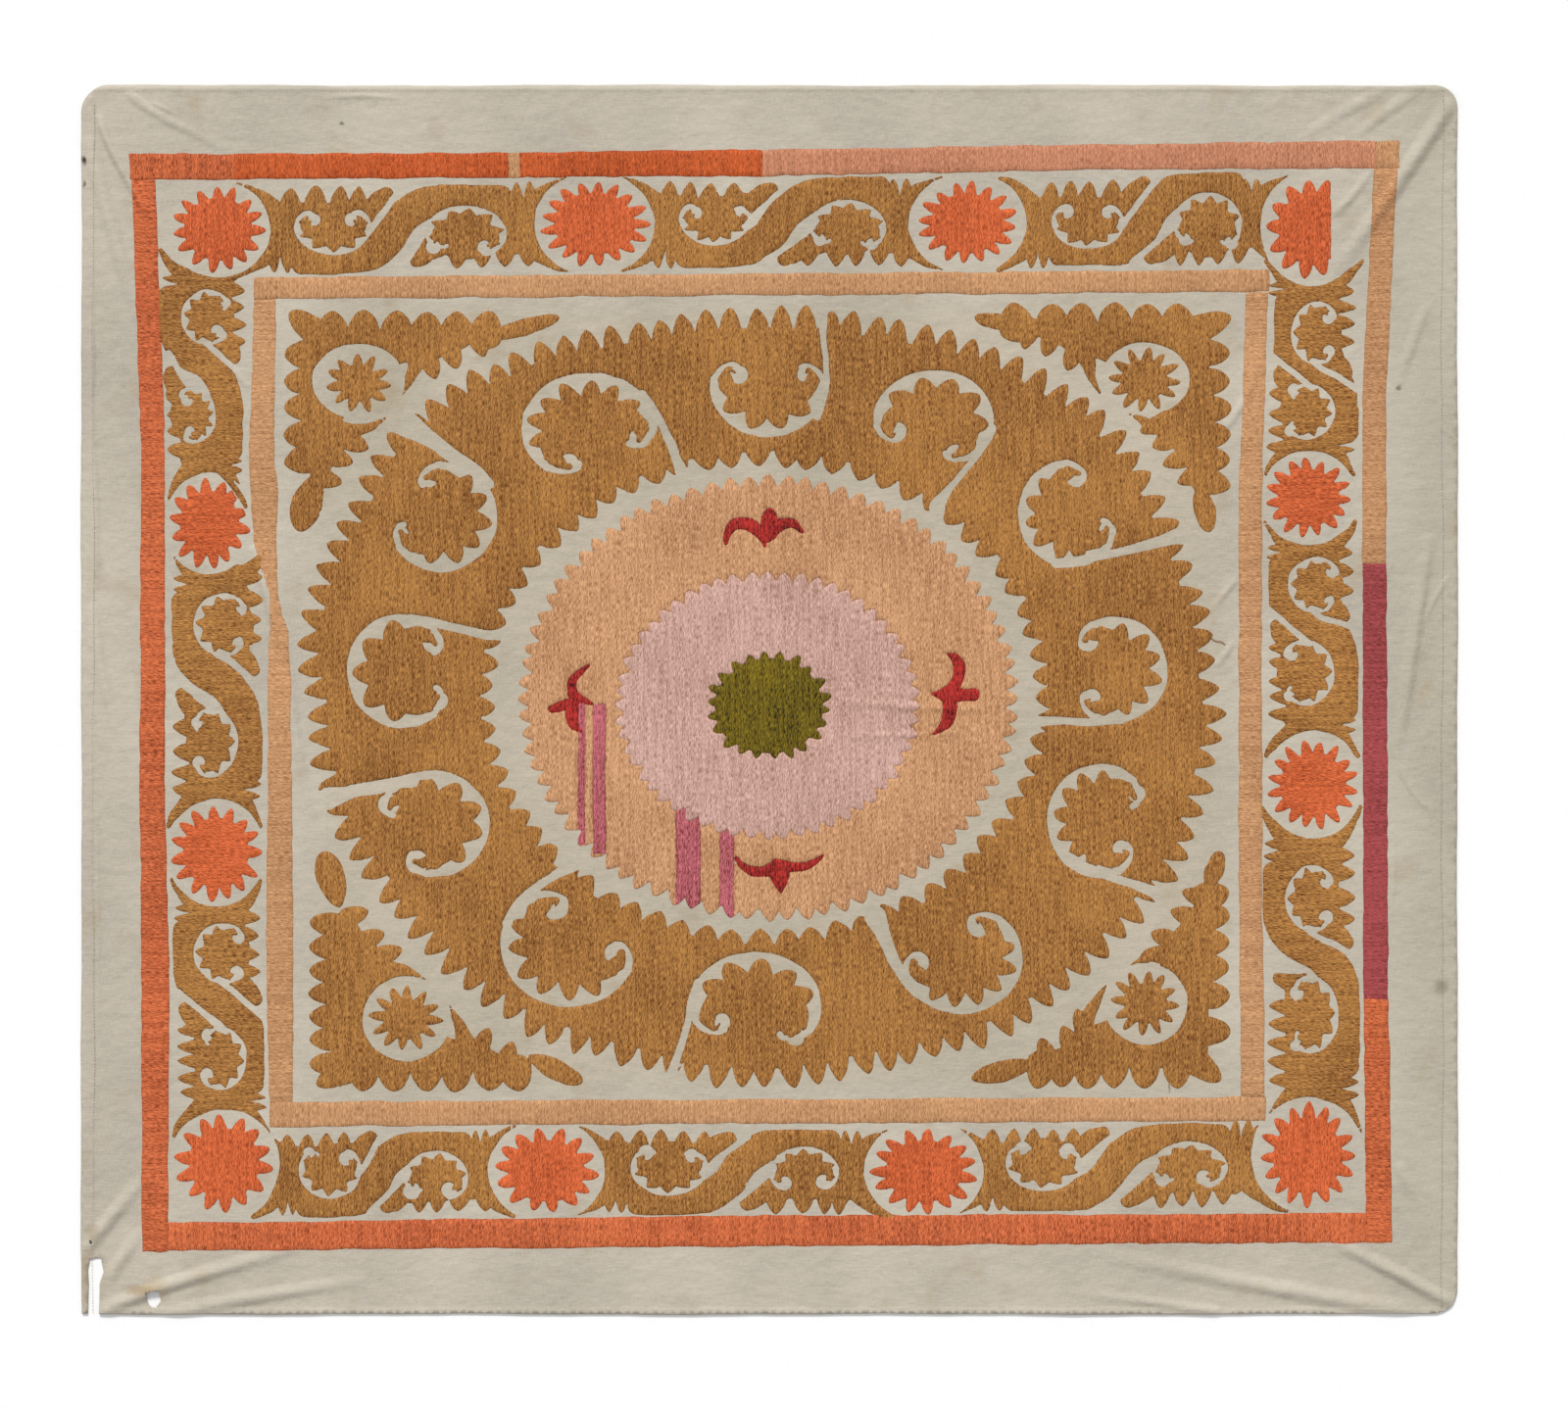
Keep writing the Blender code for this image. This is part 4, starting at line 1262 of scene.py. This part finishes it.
class Recipe:
    """A material whose nodes are added one by one, on object coordinates in metres."""

    def __init__(self, name, roughness, sheen):
        self.material = bpy.data.materials.new(name)
        self.material.use_nodes = True
        self.tree = self.material.node_tree
        self.shader = self.tree.nodes["Principled BSDF"]
        self.shader.inputs["Roughness"].default_value = roughness
        self.shader.inputs["Sheen Weight"].default_value = sheen
        self.shader.inputs["Specular IOR Level"].default_value = 0.15
        self.place = self.tree.nodes.new("ShaderNodeTexCoord").outputs["Object"]

    def node(self, kind, inputs, **settings):
        made = self.tree.nodes.new("ShaderNode" + kind)
        for name, value in settings.items():
            setattr(made, name, value)
        for name, value in inputs.items():
            if isinstance(value, bpy.types.NodeSocket):
                self.tree.links.new(value, made.inputs[name])
            else:
                made.inputs[name].default_value = value
        return made

    def stretched(self, across, along, slant=0.0, shift=(0.0, 0.0, 0.0)):
        """Coordinates in cells of one size across X and another along Y, in metres."""
        turned = self.node("Mapping", {"Vector": self.place, "Location": shift,
                                       "Rotation": (0.0, 0.0, math.radians(slant))})
        return self.node("Mapping", {"Vector": turned.outputs[0],
                                     "Scale": (1 / across, 1 / along, 1.0)}).outputs[0]

    def noise(self, vector, detail=2.0, roughness=0.5):
        made = self.node("TexNoise", {"Vector": vector, "Scale": 1.0, "Detail": detail,
                                      "Roughness": roughness}, noise_dimensions="2D")
        return made.outputs["Fac"]

    def ranged(self, value, low, high, new_low, new_high):
        return self.node("MapRange", {"Value": value, "From Min": low, "From Max": high,
                                      "To Min": new_low, "To Max": new_high}).outputs[0]

    def sum(self, *values):
        total = values[0]
        for value in values[1:]:
            total = self.node("Math", {0: total, 1: value}, operation="ADD").outputs[0]
        return total

    def product(self, first, second):
        return self.node("Math", {0: first, 1: second}, operation="MULTIPLY").outputs[0]

    def ramp(self, value, stops):
        made = self.node("ValToRGB", {"Fac": value})
        stairs = made.color_ramp.elements
        while len(stairs) < len(stops):
            stairs.new(0.5)
        for element, (position, colour) in zip(stairs, stops):
            element.position = position
            element.color = colour
        return made.outputs["Color"]

    def mixed(self, share, first, second, blend="MIX"):
        made = self.node("Mix", {}, data_type="RGBA", blend_type=blend)
        for socket, value in ((0, share), (6, first), (7, second)):
            if isinstance(value, bpy.types.NodeSocket):
                self.tree.links.new(value, made.inputs[socket])
            else:
                made.inputs[socket].default_value = value
        return made.outputs[2]

    def scattered(self, vector, size, reach, detail, dimensions):
        """Coordinates that noise in bumps of one size moves about by up to reach."""
        bumps = self.node("TexNoise", {"Vector": self.stretched(size, size), "Scale": 1.0, "Detail": detail},
                          noise_dimensions=dimensions)
        moves = self.node("VectorMath", {0: bumps.outputs["Color"], 1: (reach, reach, 0.0)},
                          operation="MULTIPLY")
        return self.node("VectorMath", {0: vector, 1: moves.outputs[0]}, operation="ADD").outputs[0]

    def finish(self, colour, height, depth):
        """Joins the colour and a bump of the given depth in metres to the shader."""
        self.tree.links.new(colour, self.shader.inputs["Base Color"])
        bump = self.node("Bump", {"Height": height, "Distance": depth, "Strength": 1.0})
        self.tree.links.new(bump.outputs["Normal"], self.shader.inputs["Normal"])
        return self.material


# The stitches, the rows in which they lie, and how far the rows' tone goes up and down
STITCH_SIZE = (1.3 * MM, 7.5 * MM)
STITCH_SLANT = 7.0
STITCH_RELIEF = 0.45 * MM
STITCH_WANDER = 13 * MM
ROW_SIZE = (4.5 * MM, 70 * MM)
ROW_TONE = 0.17
# The two tints at the ends of the stitches' tone: painted shade in the hollows between stitches, painted
# light on their raised tops
SHADOW_TINT = (0.52, 0.4, 0.3)
PAINTED_LIGHT_TINT = (1.5, 1.55, 1.6)


def tinted(colour, tint, contrast):
    """A finish colour with each part brightened or darkened by its own share."""
    shares = [max(0.05, 1 + (share - 1) * contrast) for share in tint]
    return tuple(min(1.0, part * share) for part, share in zip(colour, shares)) + (1.0,)


def stitched(name, colour, contrast, sideways=False):
    """Couched silk: short slanting stitches in faint rows, each its own tone, with painted light and shade
    and a painted shade rim.
    """
    recipe = Recipe(name, 0.7, 0.04)
    size, row = (pair[::-1] if sideways else pair for pair in (STITCH_SIZE, ROW_SIZE))
    cells = recipe.scattered(recipe.stretched(*size, slant=STITCH_SLANT), STITCH_WANDER, 1.0, 1.0, "2D")
    stitches = recipe.noise(cells, 2.5, 0.6)
    # The stitches' tone follows the same noise as their bump: partly random tone, partly painted shade low
    # down and painted light high up
    tone = recipe.ranged(stitches, 0.32, 0.68, 0.0, 1.0)
    # The rows raise the bump and lighten the colour together, so their tone is partly painted light and shade
    # too
    rows = recipe.ranged(recipe.noise(recipe.stretched(*row), 2.0), 0.3, 0.7, -ROW_TONE, ROW_TONE)
    broad = recipe.ranged(recipe.noise(recipe.stretched(0.16, 0.2), 2.0), 0.35, 0.65, -0.09, 0.09)
    inset = recipe.node("Attribute", {}, attribute_name="inset").outputs["Fac"]
    # Painted shade: the colour darkens towards the stitched area's rim, where the stitching slopes down to
    # the cloth
    rim = recipe.ranged(inset, 0.1, 1.4, -0.3, 0.0)
    shade = recipe.sum(tone, rows, broad, rim)
    base = finish_colour(colour)
    stops = [(0.0, tinted(base, SHADOW_TINT, contrast)), (0.5, base),
             (1.0, tinted(base, PAINTED_LIGHT_TINT, contrast))]
    height = recipe.sum(stitches, recipe.product(rows, 2.0))
    return recipe.finish(recipe.ramp(shade, stops), height, STITCH_RELIEF)


# Stains and worn spots: the middle and half sizes in millimetres, colour and strength
SPOT_WANDER = 9 * MM
Spot = namedtuple("Spot", "place sizes colour strength")
SPOTS = [
    Spot((-1049, 825), (5, 8), (66, 42, 32), 0.95),
    Spot((-1048, 790), (3, 5), (110, 84, 66), 0.8),
    Spot((1028, -439), (12, 14), (140, 130, 112), 0.6),
    Spot((963, 477), (5, 4), (110, 84, 60), 0.7),
    Spot((-654, 882), (5, 4), (90, 84, 76), 0.75),
    Spot((905, 822), (9, 3), (150, 98, 52), 0.7),
    Spot((-962, -903), (26, 9), (150, 122, 84), 0.6),
    Spot((-1044, -880), (14, 40), (160, 136, 100), 0.5),
    Spot((-1035, -815), (12, 14), (150, 126, 92), 0.4),
    Spot((-940, -905), (24, 22), (172, 150, 112), 0.5),
    Spot((612, -592), (2, 12), (120, 106, 84), 0.8),
]


def cotton():
    """Undyed hand-woven cotton: a plain weave with slubs, faint stains and small puckers."""
    recipe = Recipe("cotton", 0.9, 0.05)
    warp = recipe.noise(recipe.stretched(0.9 * MM, 14 * MM), 2.0)
    weft = recipe.noise(recipe.stretched(14 * MM, 0.9 * MM), 2.0)
    weave = recipe.ranged(recipe.sum(warp, weft), 0.6, 1.4, -0.22, 0.22)
    slubs = recipe.ranged(recipe.noise(recipe.stretched(60 * MM, 1.6 * MM), 2.0), 0.35, 0.75, -0.06, 0.1)
    broad = recipe.ranged(recipe.noise(recipe.stretched(0.22, 0.3), 3.0), 0.3, 0.7, -0.16, 0.16)
    shade = recipe.sum(0.5, weave, slubs, broad)
    stops = [(0.0, finish_colour(COTTON, 0.72)), (0.5, finish_colour(COTTON)),
             (1.0, finish_colour(COTTON, 1.22))]
    colour = recipe.ramp(shade, stops)
    stain = recipe.ranged(recipe.noise(recipe.stretched(0.075, 0.09, 0, (3.1, 0.4, 0.0)), 4.0),
                          0.6, 0.8, 0.0, 0.45)
    colour = recipe.mixed(stain, colour, finish_colour(FAINT_STAIN))
    ragged_place = recipe.scattered(recipe.place, 12 * MM, SPOT_WANDER, 2.0, "3D")
    for spot in SPOTS:
        size = [1 / (value * MM) for value in spot.sizes]
        middle = [-(value * MM + SPOT_WANDER / 2) * scale for value, scale in zip(spot.place, size)]
        near = recipe.node("Mapping", {"Vector": ragged_place, "Location": (*middle, 0.0),
                                       "Scale": (*size, 0.0)}).outputs[0]
        far = recipe.node("VectorMath", {0: near}, operation="LENGTH").outputs["Value"]
        share = recipe.ranged(far, 0.4, 1.2, spot.strength, 0.0)
        colour = recipe.mixed(share, colour, finish_colour(spot.colour))
    place = recipe.node("SeparateXYZ", {"Vector": recipe.place}).outputs
    sizes = [recipe.node("Math", {0: place[axis]}, operation="ABSOLUTE").outputs[0] for axis in "XY"]
    field = recipe.product(recipe.ranged(sizes[0], 0.66, 0.72, 1.0, 0.0),
                           recipe.ranged(sizes[1], 0.58, 0.64, 1.0, 0.0))
    colour = recipe.mixed(field, colour, FIELD_TINT, "MULTIPLY")
    colour = recipe.mixed(recipe.ranged(place["X"], 0.9, 1.0, 0.0, 1.0), colour, RIGHT_TINT, "MULTIPLY")
    puckers = recipe.noise(recipe.stretched(30 * MM, 22 * MM), 3.0)
    height = recipe.sum(recipe.product(puckers, 6.0), recipe.product(weave, 0.5))
    return recipe.finish(colour, height, 0.35 * MM)


def plain(name, colour, roughness, depth=0.1 * MM):
    """A thread or floor colour with a little unevenness."""
    recipe = Recipe(name, roughness, 0.0)
    shade = recipe.noise(recipe.stretched(6 * MM, 6 * MM), 2.0)
    spread = 0.12 if depth else 0.01
    stops = [(0.3, finish_colour(colour, 1.0 - spread)), (0.7, finish_colour(colour, 1.0 + spread))]
    return recipe.finish(recipe.ramp(shade, stops), shade, depth)


# Small threads

HEM_LINES = ((-1034, -940, 915), (1029.5, -935, 930))
HEM_STITCH_LENGTH = 3.2
HEM_STITCH_PITCH = 4.7


def hem_stitches():
    """Running stitches down both side hems, each a short low ridge of thread."""
    corners, faces = [], []
    for line_x, low, high in HEM_LINES:
        for number in range(int((high - low) / HEM_STITCH_PITCH)):
            y = (low + (number + rng.uniform(0.3, 0.7)) * HEM_STITCH_PITCH) * MM
            x = (line_x + 1.6 * math.sin(y * 9.0) + 0.7 * math.sin(y * 31.0)) * MM
            half = HEM_STITCH_LENGTH / 2 * MM * rng.uniform(0.8, 1.15)
            lean = rng.uniform(-0.25, 0.25) * MM
            plan = [(-half, 0.0, 0.0), (-half * 0.5, 0.35, 0.5), (half * 0.5, 0.35, 0.5), (half, 0.0, 0.0),
                    (half * 0.5, -0.35, 0.5), (-half * 0.5, -0.35, 0.5)]
            first = len(corners)
            px = np.array([x + part[1] * MM + lean * part[0] / half for part in plan])
            py = np.array([y + part[0] for part in plan])
            base = cloth_height(px, py) + HEM_THICKNESS - 0.15 * MM
            corners += np.column_stack([px, py, base]).tolist()
            corners.append([x, y - half * 0.45, float(base.mean()) + 0.65 * MM])
            corners.append([x, y + half * 0.45, float(base.mean()) + 0.65 * MM])
            rim = [(0, 1, 6), (1, 2, 7, 6), (2, 3, 7), (3, 4, 7), (4, 5, 6, 7), (5, 0, 6)]
            faces += [[first + corner for corner in face[::-1]] for face in rim]
            faces.append([first + corner for corner in range(6)])
    return new_piece("hem_stitches", corners, faces)


# Loose ends of thread: rows of x and y in drawing units
LOOSE_THREADS = [
    [(1234, 650), (1240, 654), (1246, 655), (1250, 658)],
    [(1021, 1201), (1019, 1208), (1018, 1214), (1021, 1219), (1025, 1217), (1024, 1213), (1020.5, 1214)],
]
THREAD_RADIUS = 0.55 * MM
THREAD_SIDES = 6


def loose_threads():
    """Short ends of silk that have come out of the stitching and lie on it."""
    corners, faces = [], []
    for thread in LOOSE_THREADS:
        line = to_metres(curve(thread, 8))
        height = cloth_height(*line.T) + CLOTH_THICKNESS + 1.2 * MM
        slope = np.gradient(line, axis=0)
        slope /= np.hypot(*slope.T)[:, None]
        first = len(corners)
        for (x, y), z, (dx, dy) in zip(line, height, slope):
            for side in range(THREAD_SIDES):
                turn = 2 * math.pi * side / THREAD_SIDES
                out = THREAD_RADIUS * math.cos(turn)
                corners.append([x - dy * out, y + dx * out, z + THREAD_RADIUS * math.sin(turn)])
        for ring_number in range(len(line) - 1):
            for side in range(THREAD_SIDES):
                here = first + ring_number * THREAD_SIDES
                after = here + THREAD_SIDES
                beside = (side + 1) % THREAD_SIDES
                faces.append([here + side, after + side, after + beside, here + beside])
        faces.append([first + side for side in range(THREAD_SIDES)])
        faces.append([len(corners) - 1 - side for side in range(THREAD_SIDES)])
    return new_piece("loose_threads", corners, faces)


# The part's pieces

cloth = ground_cloth()
cloth.data.materials.append(cotton())
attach(cloth, "root")
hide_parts("ground_cloth")

pieces = []
for patch_name, patch in drawn_patches().items():
    if patch.inside.max() <= 0:
        continue
    colour_name, _, side = patch_name.partition("_")
    thread = THREADS[colour_name]
    piece = stitched_piece("silk_" + patch_name, patch.inside)
    piece.data.materials.append(stitched(patch_name, thread.colour, thread.contrast, bool(side)))
    pieces.append(piece)

stitches = hem_stitches()
stitches.data.materials.append(plain("hem_thread", HEM_THREAD, 0.85))
threads = loose_threads()
threads.data.materials.append(plain("loose_silk", LOOSE_SILK, 0.6))
pieces += [stitches, threads]
for piece in pieces:
    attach(piece, "root")


# Floor, light and camera

FLOOR_SIZE = 12.0
FLOOR_DROP = 0.3 * MM
AMBIENT = 0.62
SUN_SHARE = 0.53
SUN_ELEVATION = 34
SUN_TURN = 12
SUN_SPREAD = 14

# The photo looks straight down on the cloth and shows 2.4 by 2.16 metres
FRAME_WIDTH = 2.4
CAMERA_PLACE = (0.0225, -0.0066)
LENS = 85.0
SENSOR = 36.0

bpy.ops.mesh.primitive_plane_add(size=FLOOR_SIZE, location=(0.0, 0.0, -FLOOR_DROP))
floor = bpy.context.object
floor.name = "floor"
floor.data.materials.append(plain("pale_floor", FLOOR_COLOUR, 0.9, 0.0))

world = bpy.data.worlds.new("studio")
world.use_nodes = True
world.node_tree.nodes["Background"].inputs["Color"].default_value = (1.0, 1.0, 1.0, 1.0)
world.node_tree.nodes["Background"].inputs["Strength"].default_value = AMBIENT
bpy.context.scene.world = world
soft_light = linked("soft_light", bpy.data.lights.new("soft_light", "SUN"))
soft_light.data.angle = math.radians(SUN_SPREAD)
soft_light.data.energy = SUN_SHARE * math.pi / math.sin(math.radians(SUN_ELEVATION))
soft_light.rotation_euler = (math.radians(SUN_ELEVATION - 90), 0.0, math.radians(SUN_TURN))

camera = linked("camera", bpy.data.cameras.new("camera"))
camera.data.lens = LENS
camera.data.sensor_width = SENSOR
camera.location = CAMERA_PLACE + (FRAME_WIDTH * LENS / SENSOR,)
bpy.context.scene.camera = camera
bpy.context.scene.view_settings.view_transform = "Standard"
